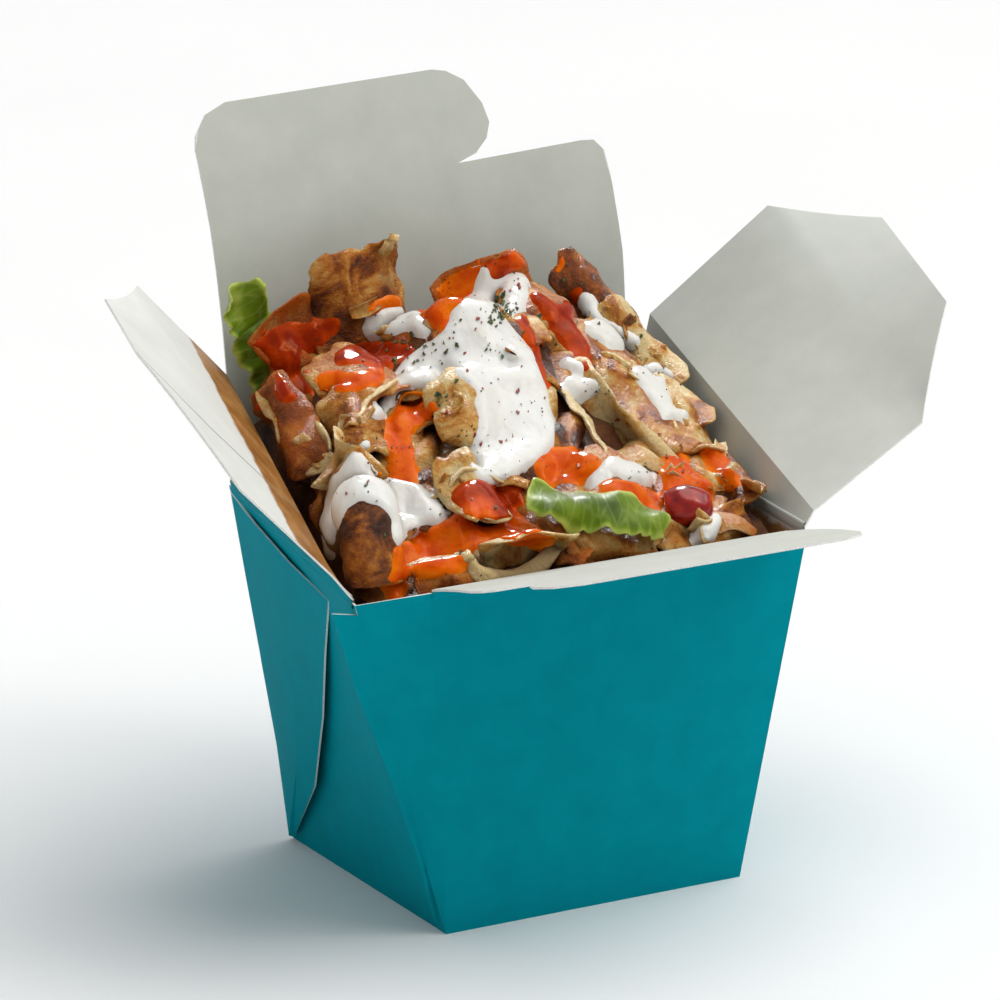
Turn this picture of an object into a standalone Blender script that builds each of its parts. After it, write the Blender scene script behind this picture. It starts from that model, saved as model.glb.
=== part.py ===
"""Open square takeaway carton, heaped with sliced meat, two sauces and salad.

Lengths below are in millimetres and are turned to metres when a mesh is made.
X runs to the right along the front panel, Y to the back, Z up; the origin is
the middle of the carton's underside.
"""

import math

import bmesh
import bpy
from mathutils import Matrix, Vector

for old in list(bpy.data.objects):
    bpy.data.objects.remove(old, do_unlink=True)

MM = 0.001

# Driving dimensions of the carton
BOARD = 0.5          # thickness of the card
BASE_W = 82.0        # base, left to right
BASE_D = 79.0        # base, front to back
RIM_W = 103.0        # front panel at the rim
RIM_D = 103.0        # rim, front to back
RIM_Z = 90.0         # height of the walls
SPLAY = 17.5         # the front left rim corner has opened this far to the left
SPLAY_IN = 4.4       # and has moved this far back from the front panel
SPLAY_DIP = 1.5      # and has sunk this far below the rest of the rim
SPLAY_BACK = 10.0    # the back right rim corner has opened this far to the right
CREASE_GAP = 0.35    # clear space between a wall and its flap
FLAP_DATUM = 92.35   # height from which the back flap's outline is measured

# Driving dimensions of the food
FOOD_GAP = 1.2       # clear space between the food and the walls
FOOD_FLOOR = 1.5     # the food starts this far above the underside
MEAT = 3.0           # thickness of a meat slice
SAUCE = 3.4          # thickness of the white sauce
CHILLI = 2.6         # thickness of the chilli sauce


def lerp(a, b, t):
    return a + (b - a) * t


# Materials, one for each piece, from the piece's colour in sRGB hex
def finish(obj, hex_colour, roughness, metallic=0.0):
    """Give the piece its own material."""
    parts = [int(hex_colour[k:k + 2], 16) / 255 for k in (0, 2, 4)]
    linear = [c / 12.92 if c <= 0.04045 else ((c + 0.055) / 1.055) ** 2.4 for c in parts]
    material = bpy.data.materials.new(obj.name + "_finish")
    material.use_nodes = True
    shader = material.node_tree.nodes["Principled BSDF"]
    shader.inputs["Base Color"].default_value = (*linear, 1.0)
    shader.inputs["Roughness"].default_value = roughness
    shader.inputs["Metallic"].default_value = metallic
    obj.data.materials.clear()
    obj.data.materials.append(material)


# Placement: every piece hangs from one empty at the carton's origin
CARTON_FRAME = bpy.data.objects.new("carton_frame", None)
bpy.context.scene.collection.objects.link(CARTON_FRAME)


def place(obj, pivot=(0, 0, 0)):
    """Put the piece's origin at a point in millimetres, and hang it up."""
    at = Vector(pivot) * MM
    obj.data.transform(Matrix.Translation(-at))
    obj.location = at
    obj.parent = CARTON_FRAME


# Meshes
def make(name, verts, faces):
    """A mesh object from points in millimetres."""
    mesh = bpy.data.meshes.new(name)
    mesh.from_pydata([Vector(v) * MM for v in verts], [], faces)
    bm = bmesh.new()
    bm.from_mesh(mesh)
    bmesh.ops.recalc_face_normals(bm, faces=bm.faces)
    bm.to_mesh(mesh)
    bm.free()
    mesh.validate()
    obj = bpy.data.objects.new(name, mesh)
    bpy.context.scene.collection.objects.link(obj)
    return obj


def tidied(mesh):
    """Merge hairline edges, and keep the main body: no scraps, no sealed hollows."""
    bm = bmesh.new()
    bm.from_mesh(mesh)
    bmesh.ops.remove_doubles(bm, verts=bm.verts[:], dist=0.004 * MM)
    bmesh.ops.dissolve_degenerate(bm, edges=bm.edges[:], dist=0.004 * MM)
    bmesh.ops.triangulate(bm, faces=bm.faces[:])
    left, groups = set(bm.verts), []
    while left:
        stack = [left.pop()]
        group = list(stack)
        while stack:
            for edge in stack.pop().link_edges:
                for vert in edge.verts:
                    if vert in left:
                        left.remove(vert)
                        stack.append(vert)
                        group.append(vert)
        groups.append(group)
    groups.sort(key=len)
    for group in groups[:-1]:
        bmesh.ops.delete(bm, geom=group, context="VERTS")
    bm.to_mesh(mesh)
    bm.free()
    return mesh


def join_solids(body, extras):
    """Fuse the extra solids to the body with one Boolean union."""
    group = bpy.data.collections.new(body.name + "_extras")
    for extra in extras:
        group.objects.link(extra)
    union = body.modifiers.new("union", "BOOLEAN")
    union.operation = "UNION"
    union.operand_type = "COLLECTION"
    union.collection = group
    union.solver = "MANIFOLD"
    graph = bpy.context.evaluated_depsgraph_get()
    fused = bpy.data.meshes.new_from_object(body.evaluated_get(graph))
    body.modifiers.clear()
    body.data = fused
    for extra in extras:
        bpy.data.objects.remove(extra, do_unlink=True)
    bpy.data.collections.remove(group)


# The carton's outline, from the front left corner and on around the left side
BASE = [
    (-BASE_W / 2, -BASE_D / 2),
    (-BASE_W / 2, -BASE_D / 2 + 2),
    (-BASE_W / 2, BASE_D / 2),
    (BASE_W / 2, BASE_D / 2),
    (BASE_W / 2, -BASE_D / 2),
]
RIM = [
    (-RIM_W / 2, -RIM_D / 2),
    (-RIM_W / 2 - SPLAY, -RIM_D / 2 + SPLAY_IN),
    (-RIM_W / 2, RIM_D / 2),
    (RIM_W / 2 + SPLAY_BACK, RIM_D / 2),
    (RIM_W / 2, -RIM_D / 2),
]
RIM_HEIGHTS = [RIM_Z, RIM_Z - SPLAY_DIP, RIM_Z, RIM_Z, RIM_Z]
SIDE_STEPS = 6


def inset(corners, distance):
    """The outline moved inwards by a distance, corner by corner."""
    out = []
    count = len(corners)
    for k in range(count):
        a, b, c = (Vector(corners[(k + j) % count]) for j in (-1, 0, 1))
        before, after = (b - a).normalized(), (c - b).normalized()
        n1 = Vector((before.y, -before.x))
        n2 = Vector((after.y, -after.x))
        middle = (n1 + n2).normalized()
        out.append(b + middle * (distance / max(0.5, middle.dot(n1))))
    return out


def ring(height, distance):
    """Points of the carton's outline at a height, each side cut into steps."""
    base, rim = inset(BASE, distance), inset(RIM, distance)
    t = height / RIM_Z
    points = []
    for k in range(len(base)):
        nxt = (k + 1) % len(base)
        steps = 1 if k == 0 else SIDE_STEPS
        for s in range(steps):
            f = s / steps
            low, high = base[k].lerp(base[nxt], f), rim[k].lerp(rim[nxt], f)
            flat = low.lerp(high, t)
            points.append((flat.x, flat.y, t * lerp(RIM_HEIGHTS[k], RIM_HEIGHTS[nxt], f)))
    return points


def loft(name, rings):
    """A closed solid through rings of equal length, capped at both ends."""
    count = len(rings[0])
    verts = [p for r in rings for p in r]
    faces = []
    for row in range(len(rings) - 1):
        for k in range(count):
            a, b = row * count + k, row * count + (k + 1) % count
            faces += [(a, b, b + count), (a, b + count, a + count)]
    last = (len(rings) - 1) * count
    faces.append(tuple(range(count)))
    faces.append(tuple(range(last, last + count)))
    return make(name, verts, faces)


def plate(name, face, thickness):
    """A thin solid from a face: a list of points in a row-by-row grid."""
    rows, cols = len(face), len(face[0])
    grid = [[Vector(p) for p in row] for row in face]
    normals = []
    for i in range(rows):
        line = []
        for j in range(cols):
            along = grid[min(i + 1, rows - 1)][j] - grid[max(i - 1, 0)][j]
            across = grid[i][min(j + 1, cols - 1)] - grid[i][max(j - 1, 0)]
            line.append(along.cross(across).normalized())
        normals.append(line)
    verts, half = [], thickness / 2
    for side in (half, -half):
        for i in range(rows):
            for j in range(cols):
                verts.append(grid[i][j] + normals[i][j] * side)
    faces, low = [], rows * cols
    for i in range(rows - 1):
        for j in range(cols - 1):
            a, b = i * cols + j, i * cols + j + 1
            c, d = a + cols, b + cols
            faces += [(a, c, b), (b, c, d)]
            faces += [(a + low, b + low, c + low), (b + low, d + low, c + low)]
    edge = [j for j in range(cols)]
    edge += [i * cols + cols - 1 for i in range(1, rows)]
    edge += [(rows - 1) * cols + j for j in range(cols - 2, -1, -1)]
    edge += [i * cols for i in range(rows - 2, 0, -1)]
    for k, a in enumerate(edge):
        b = edge[(k + 1) % len(edge)]
        faces += [(a, b, b + low), (a, b + low, a + low)]
    return make(name, verts, faces)


def card(name, outline, cuts, bend, thickness):
    """A bent card: a flat outline cut across at some heights, then mapped."""
    bm = bmesh.new()
    bm.faces.new([bm.verts.new((a, h, 0)) for a, h in outline])
    for h in cuts:
        bmesh.ops.bisect_plane(
            bm, geom=bm.verts[:] + bm.edges[:] + bm.faces[:], dist=1e-4,
            plane_co=(0, h, 0), plane_no=(0, 1, 0))
    bmesh.ops.triangulate(bm, faces=bm.faces[:])
    bm.verts.index_update()
    flat = [(v.co.x, v.co.y) for v in bm.verts]
    tris = [[v.index for v in f.verts] for f in bm.faces]
    rim = [[v.index for v in e.verts] for e in bm.edges if len(e.link_faces) == 1]
    bm.free()
    step, verts = 0.2, []
    for side in (0.5, -0.5):
        for a, h in flat:
            p = bend(a, h)
            across = bend(a + step, h) - bend(a - step, h)
            along = bend(a, h + step) - bend(a, h - step)
            verts.append(p + across.cross(along).normalized() * thickness * side)
    low = len(flat)
    faces = [tuple(t) for t in tris] + [tuple(k + low for k in reversed(t)) for t in tris]
    for a, b in rim:
        faces += [(a, b, b + low), (a, b + low, a + low)]
    return make(name, verts, faces)


# Carton: base and walls, one sheet of card
def walls():
    """The open shell: an outer and an inner skin, joined along the rim."""
    heights = [RIM_Z * k / 4 for k in range(5)]
    outer = [ring(z, 0) for z in heights]
    inner = [ring(max(z, BOARD), BOARD) for z in heights]
    count = len(outer[0])
    points = [p for r in outer + inner for p in r]
    faces = []
    for row in range(4):
        for k in range(count):
            a, b = row * count + k, row * count + (k + 1) % count
            faces += [(a, b, b + count), (a, b + count, a + count)]
            c, d = a + 5 * count, b + 5 * count
            faces += [(c, d + count, d), (c, c + count, d + count)]
    top_out, top_in = 4 * count, 9 * count
    for k in range(count):
        nxt = (k + 1) % count
        faces += [(top_out + k, top_out + nxt, top_in + nxt),
                  (top_out + k, top_in + nxt, top_in + k)]
    faces.append(tuple(range(count)))
    faces.append(tuple(range(5 * count, 6 * count)))
    return make("carton", points, faces)


# Webs: the folded sheets at the corners that stand off the side walls
def corner_at(index, height):
    """A point on one of the carton's outer corners."""
    t = height / RIM_Z
    flat = Vector(BASE[index]).lerp(Vector(RIM[index]), t)
    return Vector((flat.x, flat.y, t * RIM_HEIGHTS[index]))


def web(name, corner, inwards, heights, free_edge, bulge=0.0):
    """A web: fixed inside a corner at some heights, its free edge off the side."""
    dx, dy = inwards[0] * BOARD / 2, inwards[1] * BOARD / 2
    rows = []
    for height, free in zip(heights, free_edge):
        fixed, free = corner_at(corner, height) + Vector((dx, dy, 0)), Vector(free)
        rows.append([fixed.lerp(free, f) + Vector((bulge * math.sin(math.pi * f), 0, 0))
                     for f in (0, 0.3, 0.65, 1)])
    return plate(name, rows, BOARD)


def webs():
    return [
        web("web_back_left", 2, (1, -1), (2.0, 25, 48, 68, 88.5),
            [(-42.2, 36.5, 1.5), (-47.5, 15, 22), (-53, 0, 45), (-58.5, -12, 65),
             (-62.6, -22, 82)], -1.5),
        web("web_front_left", 1, (1, 1), (2.5, 22, 44, 66, 87.5),
            [(-42.9, -37.4, 2.5), (-49.3, -40.6, 22), (-58.2, -42.5, 45),
             (-67.4, -44.0, 67), (-74.2, -45.6, 87)]),
        web("web_back_right", 3, (-1, -1), (2.0, 25, 48, 70, 88.5),
            [(42.5, 27, 3.0), (47.5, 17, 25), (52, 5, 50), (56, 3, 72), (60.5, 34, 84)]),
        web("web_front_right", 4, (-1, 1), (2.0, 25, 48, 70, 88.5),
            [(42.5, -27, 3.0), (46.5, -20, 25), (50, -10, 50), (54.5, -4, 72),
             (53.5, -36, 84)]),
    ]


carton = walls()
join_solids(carton, webs())
tidied(carton.data)
finish(carton, "0C7A88", 0.45)
place(carton)

# Back flap: stands up, leaning back; a long locking tongue over its left part
BACK_ROOT = RIM_Z + CREASE_GAP - FLAP_DATUM
BACK_LEAN = 0.0027    # how fast the flap curves back with its height


def back_bend(a, h):
    return Vector((a, RIM_D / 2 + 0.3 + BACK_LEAN * h * h, FLAP_DATUM + h))


back_outline = [
    (-50.9, BACK_ROOT), (-50.5, 60), (-50.9, 78.5), (-50.2, 81.5), (-46.5, 86), (-40.5, 88.3),
    (17.5, 90), (21.5, 89.3), (26, 86.8), (29.8, 81), (30.8, 76.4), (29.2, 72.8),
    (25.5, 69.6), (20, 67.8), (55.5, 69.4), (59.3, 69.2), (61.8, 66.6), (62.6, 60),
    (63.2, 42), (61.2, BACK_ROOT)]
back_flap = card("back_flap", back_outline, [12, 24, 36, 48, 58, 67, 75, 83],
                 back_bend, BOARD)
finish(back_flap, "BFBFB8", 0.6)
place(back_flap, (5.0, RIM_D / 2 + 0.2, RIM_Z + 0.2))

# Front flap: folded out, seen edge on, shorter than the back one
FRONT_RISE = math.radians(17.6)
FRONT_ROOT_Y = -RIM_D / 2 - 0.1
FRONT_ROOT_Z = RIM_Z + CREASE_GAP + 0.3


def front_bend(a, h):
    droop = 0.0016 * h * h
    return Vector((a, FRONT_ROOT_Y - h * math.cos(FRONT_RISE),
                   FRONT_ROOT_Z + h * math.sin(FRONT_RISE) - droop))


front_outline = [
    (-51.2, 0), (45.5, 0), (46, 33), (43, 39), (37, 42), (-34, 43), (-41, 41),
    (-44, 36.5), (-43, 33), (-38.5, 30.5), (-50, 30.2), (-53, 28.6), (-54.2, 25)]
front_flap = card("front_flap", front_outline, [8, 16, 24, 34], front_bend, BOARD)
finish(front_flap, "EFEFEF", 0.6)
place(front_flap, (-3.0, -RIM_D / 2 - 0.1, RIM_Z + 0.4))


# Side flaps: eight sided, bent and twisted as they open
def side_flap(name, lines, chamfer_front, chamfer_back, rows=(3, 4, 5), cols=8):
    """A flap through lines from root to tip, each a front and a back point."""
    grid = []
    for part, count in enumerate(rows):
        low = [Vector(p) for p in lines[part]]
        high = [Vector(p) for p in lines[part + 1]]
        last_part = part == len(rows) - 1
        for i in range(count + (1 if last_part else 0)):
            t = i / count
            front, back = low[0].lerp(high[0], t), low[1].lerp(high[1], t)
            start = chamfer_front * t if last_part else 0.0
            stop = 1 - chamfer_back * t if last_part else 1.0
            grid.append([front.lerp(back, lerp(start, stop, j / cols))
                         for j in range(cols + 1)])
    return plate(name, grid, BOARD)


ROOT_Z = RIM_Z + CREASE_GAP + 0.1
right_flap = side_flap("right_flap", [
    ((RIM_W / 2 + 0.0, -RIM_D / 2 + 1.2, ROOT_Z),
     (RIM_W / 2 + SPLAY_BACK - 0.4, RIM_D / 2 - 1.6, ROOT_Z)),
    ((54.5, -49.5, 94.0), (67.5, 49.5, 118.5)),
    ((88, -45, 110.2), (98.6, 44, 144)),
    ((105.2, -46, 126), (121.8, 43, 150))], 0.27, 0.26)
finish(right_flap, "C0C8C0", 0.6)
place(right_flap, (RIM_W / 2 + SPLAY_BACK / 2, 0, RIM_Z + 0.3))
left_flap = side_flap("left_flap", [
    ((-RIM_W / 2 - SPLAY + 0.9, -RIM_D / 2 + SPLAY_IN + 2.4, ROOT_Z - SPLAY_DIP + 0.1),
     (-RIM_W / 2 + 0.4, RIM_D / 2 - 1.6, ROOT_Z)),
    ((-75.5, -48.5, 97.0), (-52.8, 49.5, 118.5)),
    ((-99.8, -50, 121.6), (-79.2, 44, 145.6)),
    ((-121, -51, 149), (-92, 44, 151))], 0.27, 0.26)
finish(left_flap, "E5E7E4", 0.6)
place(left_flap, (-RIM_W / 2 - SPLAY / 2, SPLAY_IN / 2, RIM_Z - SPLAY_DIP / 2 + 0.3))


# Food heap: a core that fills the carton and domes above it
def dome(x, y):
    """Height of the core's top above the underside."""
    side = 1 - (abs(x + 4) / 70.0) ** 2.2
    front = min(1.0, max(0.0, (y + 52.0) / 72.0))
    rise = front ** 0.85
    back = 1 - max(0.0, (y - 22) / 62.0) ** 2
    peak = 9.0 * math.exp(-(x * x + (y - 20) ** 2) / 420.0)
    return 83.0 + 42.0 * max(0.0, side) * rise * back + peak


def core():
    low = [(z, d) for z, d in ((FOOD_FLOOR, FOOD_GAP + 2), (FOOD_FLOOR + 3, FOOD_GAP),
                               (45.0, FOOD_GAP), (80.0, FOOD_GAP))]
    rings = [ring(z, d) for z, d in low]
    edge = rings[-1]
    middle = Vector((0, 10))
    for f in (0.94, 0.8, 0.62, 0.42, 0.2):
        level = []
        for x, y, z in edge:
            flat = middle.lerp(Vector((x, y)), f)
            level.append((flat.x, flat.y, max(80.3, dome(flat.x, flat.y))))
        rings.append(level)
    count = len(edge)
    verts = [p for r in rings for p in r] + [(0, 10, dome(0, 10))]
    faces = []
    for row in range(len(rings) - 1):
        for k in range(count):
            a, b = row * count + k, row * count + (k + 1) % count
            faces += [(a, b, b + count), (a, b + count, a + count)]
    last, tip = (len(rings) - 1) * count, len(verts) - 1
    faces += [(last + k, last + (k + 1) % count, tip) for k in range(count)]
    faces.append(tuple(range(count)))
    return make("food_heap", verts, faces)


def spline(points, t):
    """A smooth curve through the points, t from 0 to 1."""
    n = len(points) - 1
    k = min(int(t * n), n - 1)
    f = t * n - k
    p = [Vector(points[min(max(k + j, 0), n)]) for j in (-1, 0, 1, 2)]
    return 0.5 * ((2 * p[1]) + (p[2] - p[0]) * f
                  + (2 * p[0] - 5 * p[1] + 4 * p[2] - p[3]) * f * f
                  + (3 * p[1] - p[0] - 3 * p[2] + p[3]) * f ** 3)


def ribbon(name, path, across, width, thickness, cup=0.0, wave=0.0, waves=2.0,
           steps=5, cols=3):
    """A slice or smear: a bent strip along a path, cupped across its width."""
    across = Vector(across).normalized()
    rows = []
    for i in range(steps + 1):
        t = i / steps
        mid = spline(path, t)
        ahead = spline(path, min(1, t + 0.02)) - spline(path, max(0, t - 0.02))
        side = (across - ahead.normalized() * across.dot(ahead.normalized())).normalized()
        up = side.cross(ahead).normalized()
        if up.z < 0 and abs(up.z) > 0.3:
            up = -up
        narrow = 1.0 if 0 < i < steps else 0.72
        row = []
        for j in range(cols + 1):
            s = 2 * j / cols - 1
            lift = -cup * s * s + wave * math.sin(waves * math.pi * t + s * 1.3) * s
            row.append(mid + side * (s * width / 2 * narrow) + up * lift)
        rows.append(row)
    return plate(name, rows, thickness)


# Meat slices: path, direction across, width, cupping, waviness
SLICES = [
    ([(-20, 39, 122), (-20, 41, 136), (-21, 43, 150)], (1, 0, 0), 26, 1.5, 2.5),
    ([(37, 41, 143), (45, 37, 134), (52, 31, 120)], (0.4, 0.5, 0.9), 16, 2, 2),
    ([(42, 33, 126), (50, 26, 118), (55, 18, 108)], (0.6, 0.3, 0.6), 15, 2, 3),
    ([(30, 24, 126), (35, 8, 114), (37, -13, 100)], (1, 0.2, -0.1), 25, 3, 1),
    ([(19, 9, 121), (24, -4, 112), (31, -19, 100)], (0.5, -0.5, 0.8), 9, 0, 2.5),
    ([(44, 10, 112), (50, 2, 106), (49, -8, 99)], (0.7, 0.5, 0.2), 15, 3, 2.5),
    ([(33, -33, 91), (43, -20, 94), (51, -3, 96)], (-0.3, 0.4, 0.9), 15, 2, 2),
    ([(-52, -6, 114), (-57, -16, 113), (-51, -24, 107)], (0.2, 0.3, 1), 13, 1, 2),
    ([(-54, 26, 122), (-56, 12, 116), (-55, 0, 108)], (0.5, 0.1, 1), 13, 2, 2),
    ([(-43, 10, 124), (-42, 0, 119), (-43, -8, 112)], (1, 0.2, 0.3), 15, 4, 1),
    ([(-19, 2, 126), (-16, -6, 121), (-18, -14, 112)], (1, 0.3, 0.2), 17, 4, 1),
    ([(-29, -18, 111), (-27, -27, 106), (-27, -36, 99)], (1, 0.2, 0.1), 13, 1, 2.5),
    ([(-34, -43, 94), (-22, -45, 97), (-10, -43, 94)], (0, -0.6, 0.8), 11, 2, 1.5),
    ([(2, -35, 102), (8, -38, 97), (17, -41, 92)], (0.7, 0.7, 0.4), 16, 3, 1),
    ([(20, -22, 101), (30, -27, 97), (37, -34, 92)], (0.4, 0.8, 0.4), 15, 2, 2),
    ([(-4, 36, 129), (8, 39, 134), (22, 40, 132)], (0, 0.3, 1), 15, 2, 3),
    ([(-48, 36, 124), (-40, 41, 130), (-32, 43, 127)], (0.2, 0.4, 1), 17, 2, 3),
    ([(39, 38, 115), (46, 30, 110), (49, 18, 104)], (0.3, 0.6, 0.8), 15, 2, 2),
    ([(6, -22, 108), (12, -30, 104), (8, -38, 98)], (1, 0.3, 0.2), 18, 3, 2),
    ([(-40, 24, 128), (-36, 14, 127), (-32, 4, 122)], (1, 0.3, 0.2), 20, 3, 2),
    ([(14, 34, 134), (24, 28, 133), (32, 34, 131)], (0.2, 1, 0.3), 18, 3, 2),
    ([(-52, -43, 91), (-44, -45, 92), (-36, -45, 92)], (0, 0.4, 0.9), 9, 1, 1.5),
    ([(-8, -44, 92), (3, -45, 93), (13, -45, 91)], (0, 0.4, 0.9), 9, 1, 1.5),
    ([(25, -44, 90), (34, -43, 92), (42, -39, 92)], (0, 0.6, 0.8), 10, 1, 2),
    ([(45, -34, 93), (47, -24, 96), (46, -12, 99)], (0.8, 0.2, 0.5), 12, 2, 2.5),
    ([(24, -10, 105), (33, -7, 105), (41, -10, 102)], (0.2, 1, 0.3), 13, 2, 2.5),
    ([(46, 16, 110), (51, 10, 107), (52, 0, 102)], (0.6, 0.3, 0.7), 12, 2, 2.5),
    ([(-58, -8, 104), (-60, -18, 101), (-58, -28, 97)], (0.5, 0, 1), 11, 1, 1.5),
    ([(22, 42, 121), (34, 42, 119), (43, 40, 114)], (0.1, 0.6, 0.8), 12, 2, 2),
    ([(-30, 40, 122), (-40, 36, 120), (-48, 30, 115)], (0.1, 0.8, 0.6), 14, 2, 2),
]

# White sauce smears, then chilli sauce smears, both lying over the slices
WHITE = [
    ([(2, 20, 139), (-2, 6, 129), (-8, -8, 118), (-14, -21, 106)], (1, 0.2, 0.1), 31, 2, 1),
    ([(-34, 22, 135), (-26, 19, 136), (-17, 19, 137)], (0.2, 1, 0.1), 13, 2, 0.5),
    ([(-54, -22, 108), (-44, -24, 108), (-32, -22, 108)], (0.1, 1, 0.6), 18, 2, 2),
    ([(28, 20, 129), (36, 18, 125), (42, 12, 119)], (0.4, 1, 0.4), 12, 1, 1),
    ([(24, -18, 105), (33, -20, 102), (41, -18, 101)], (0.3, 1, 0.3), 8, 1, 0.5),
]
RED = [
    ([(-52, 22, 129), (-42, 20, 132), (-32, 18, 133)], (0.1, 1, 0.4), 15, 1, 1.5),
    ([(-30, 10, 130), (-24, 0, 124), (-25, -12, 116), (-26, -20, 110)], (1, 0.3, 0), 10, 2, 0.5),
    ([(-46, -38, 99), (-34, -33, 102), (-20, -30, 104), (-10, -33, 101)], (0.2, 1, 0.6), 14, 2, 1),
    ([(-10, 34, 134), (2, 34, 137), (16, 34, 135)], (0.1, 1, 0.4), 13, 2, 1),
    ([(14, 20, 132), (20, 12, 127), (24, 2, 119)], (1, 0.4, 0.2), 12, 2, 0.5),
    ([(4, -17, 109), (13, -17, 108), (21, -14, 108)], (0.2, 1, 0.4), 10, 2, 0.5),
    ([(38, -4, 105), (42, -14, 102), (36, -22, 99)], (0.8, 0.5, 0.2), 10, 2, 0.5),
]

# Folded roll of meat in the front left corner
ROLL = [(-55, -25, 108), (-57.5, -31, 105), (-59, -36.5, 98), (-59, -38.5, 90)]


def tube(name, path, wide, high, sides=12, steps=7):
    """A closed solid around a path, rounded off at both ends."""
    points = [spline(path, i / steps) for i in range(steps + 1)]
    rings = []
    for i, mid in enumerate(points):
        ahead = points[min(i + 1, steps)] - points[max(i - 1, 0)]
        side = ahead.cross(Vector((0, 0, 1))).normalized()
        up = side.cross(ahead).normalized()
        size = (0.5, 0.85, 0.97, 1.0)[min(3, i, steps - i)]
        rings.append([tuple(mid + side * (math.cos(q) * wide * size)
                            + up * (math.sin(q) * high * size))
                      for q in (2 * math.pi * k / sides for k in range(sides))])
    return loft(name, rings)


heap = core()
pieces = [tube("roll", ROLL, 7.2, 7.0)]
for number, (path, across, width, cup, wave) in enumerate(SLICES):
    pieces.append(ribbon(f"slice_{number}", path, across, width, MEAT, cup, wave))
for number, (path, across, width, cup, wave) in enumerate(WHITE):
    pieces.append(ribbon(f"white_{number}", path, across, width, SAUCE, cup, wave))
for number, (path, across, width, cup, wave) in enumerate(RED):
    pieces.append(ribbon(f"red_{number}", path, across, width, CHILLI, cup, wave))
join_solids(heap, pieces)


# Lettuce leaves and a tomato wedge, each a piece by itself in its own hollow
LEAF = 1.0
HOLLOW = 0.9         # how much wider and thicker the hollow is than the piece

SALAD = {
    "lettuce_left": ([(-41, 33, 109), (-43, 41, 119), (-48, 45, 131), (-52, 46, 141)],
                     (1, 0.3, 0.1), 11, 1.5, 2.0, 3.0, LEAF),
    "lettuce_front": ([(-16, -36, 105), (-6, -41, 102.5), (6, -44, 99.5), (15, -45.5, 97)],
                      (0.25, 0.8, 0.5), 13, 1.5, 2.0, 3.0, LEAF),
    "tomato": ([(20, -38, 97), (25, -40, 97.5), (31, -41, 96)],
               (0.1, 0.5, 0.9), 10, 1.5, 0.0, 1.0, 5.0),
}


def carve(body, cutters):
    """Take the cutters' shapes out of the body."""
    for cutter in cutters:
        cut = body.modifiers.new("cut", "BOOLEAN")
        cut.operation = "DIFFERENCE"
        cut.object = cutter
        cut.solver = "MANIFOLD"
        graph = bpy.context.evaluated_depsgraph_get()
        body_mesh = bpy.data.meshes.new_from_object(body.evaluated_get(graph))
        body.modifiers.clear()
        body.data = body_mesh
        bpy.data.objects.remove(cutter, do_unlink=True)


SALAD_COLOURS = {"lettuce_left": "93AE3E", "lettuce_front": "8FA838", "tomato": "A3180F"}

for name, (path, across, width, cup, wave, waves, thick) in SALAD.items():
    bit = ribbon(name, path, across, width, thick, cup, wave, waves, 9, 4)
    finish(bit, SALAD_COLOURS[name], 0.35)
    place(bit)
    longer = [Vector(p) for p in path]
    longer[0] += (longer[0] - longer[1]).normalized() * HOLLOW
    longer[-1] += (longer[-1] - longer[-2]).normalized() * HOLLOW
    carve(heap, [ribbon("hollow", longer, across, width + 2 * HOLLOW, thick + HOLLOW,
                        cup, wave, waves, 9, 4)])
tidied(heap.data)
finish(heap, "B7813F", 0.45)
place(heap)
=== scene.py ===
"""Looks for the open takeaway carton of sliced meat, sauces and salad."""

import math
import random

import bmesh
import bpy
import numpy as np
from mathutils import Matrix, Vector, noise
from mathutils.bvhtree import BVHTree


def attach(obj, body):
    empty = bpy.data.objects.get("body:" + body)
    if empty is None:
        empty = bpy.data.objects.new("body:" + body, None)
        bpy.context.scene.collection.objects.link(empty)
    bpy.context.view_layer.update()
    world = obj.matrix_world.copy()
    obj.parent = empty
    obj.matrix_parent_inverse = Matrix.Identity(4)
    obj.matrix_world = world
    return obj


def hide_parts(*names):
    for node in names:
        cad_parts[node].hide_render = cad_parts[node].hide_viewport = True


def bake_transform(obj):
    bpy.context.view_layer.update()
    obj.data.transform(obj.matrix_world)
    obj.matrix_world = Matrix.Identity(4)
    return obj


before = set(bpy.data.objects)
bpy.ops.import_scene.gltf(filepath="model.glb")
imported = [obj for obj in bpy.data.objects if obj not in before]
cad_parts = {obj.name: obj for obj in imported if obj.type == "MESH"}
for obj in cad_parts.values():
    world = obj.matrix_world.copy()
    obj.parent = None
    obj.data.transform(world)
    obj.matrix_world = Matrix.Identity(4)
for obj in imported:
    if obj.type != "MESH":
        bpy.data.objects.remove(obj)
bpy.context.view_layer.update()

MM = 0.001


def mix(a, b, t):
    return a + (b - a) * t


def smooth_step(low, high, value):
    t = np.clip((value - low) / (high - low), 0.0, 1.0)
    return t * t * (3 - 2 * t)


# Camera: where the photograph was taken from
AIM = Vector((0, 0, 0.06))
AWAY = 1.5
TURN = math.radians(29.474)      # this far to the left of the carton's front
RISE = math.radians(17.594)
BACKWARD = Vector((-math.sin(TURN) * math.cos(RISE),
                   -math.cos(TURN) * math.cos(RISE), math.sin(RISE)))
RIGHTWARD = Vector((math.cos(TURN), -math.sin(TURN), 0))
UPWARD = BACKWARD.cross(RIGHTWARD)
EYE = AIM + BACKWARD * AWAY
LENS, SENSOR, FRAME_PX = 221.19, 36.0, 1000.0
SHIFT_X, SHIFT_Y = -0.0146, 0.1255
FOCAL_PX = LENS / SENSOR * FRAME_PX
CENTRE_PX = (FRAME_PX * (0.5 - SHIFT_X), FRAME_PX * (0.5 + SHIFT_Y))
PX_PER_MM = FOCAL_PX / AWAY * MM


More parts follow.
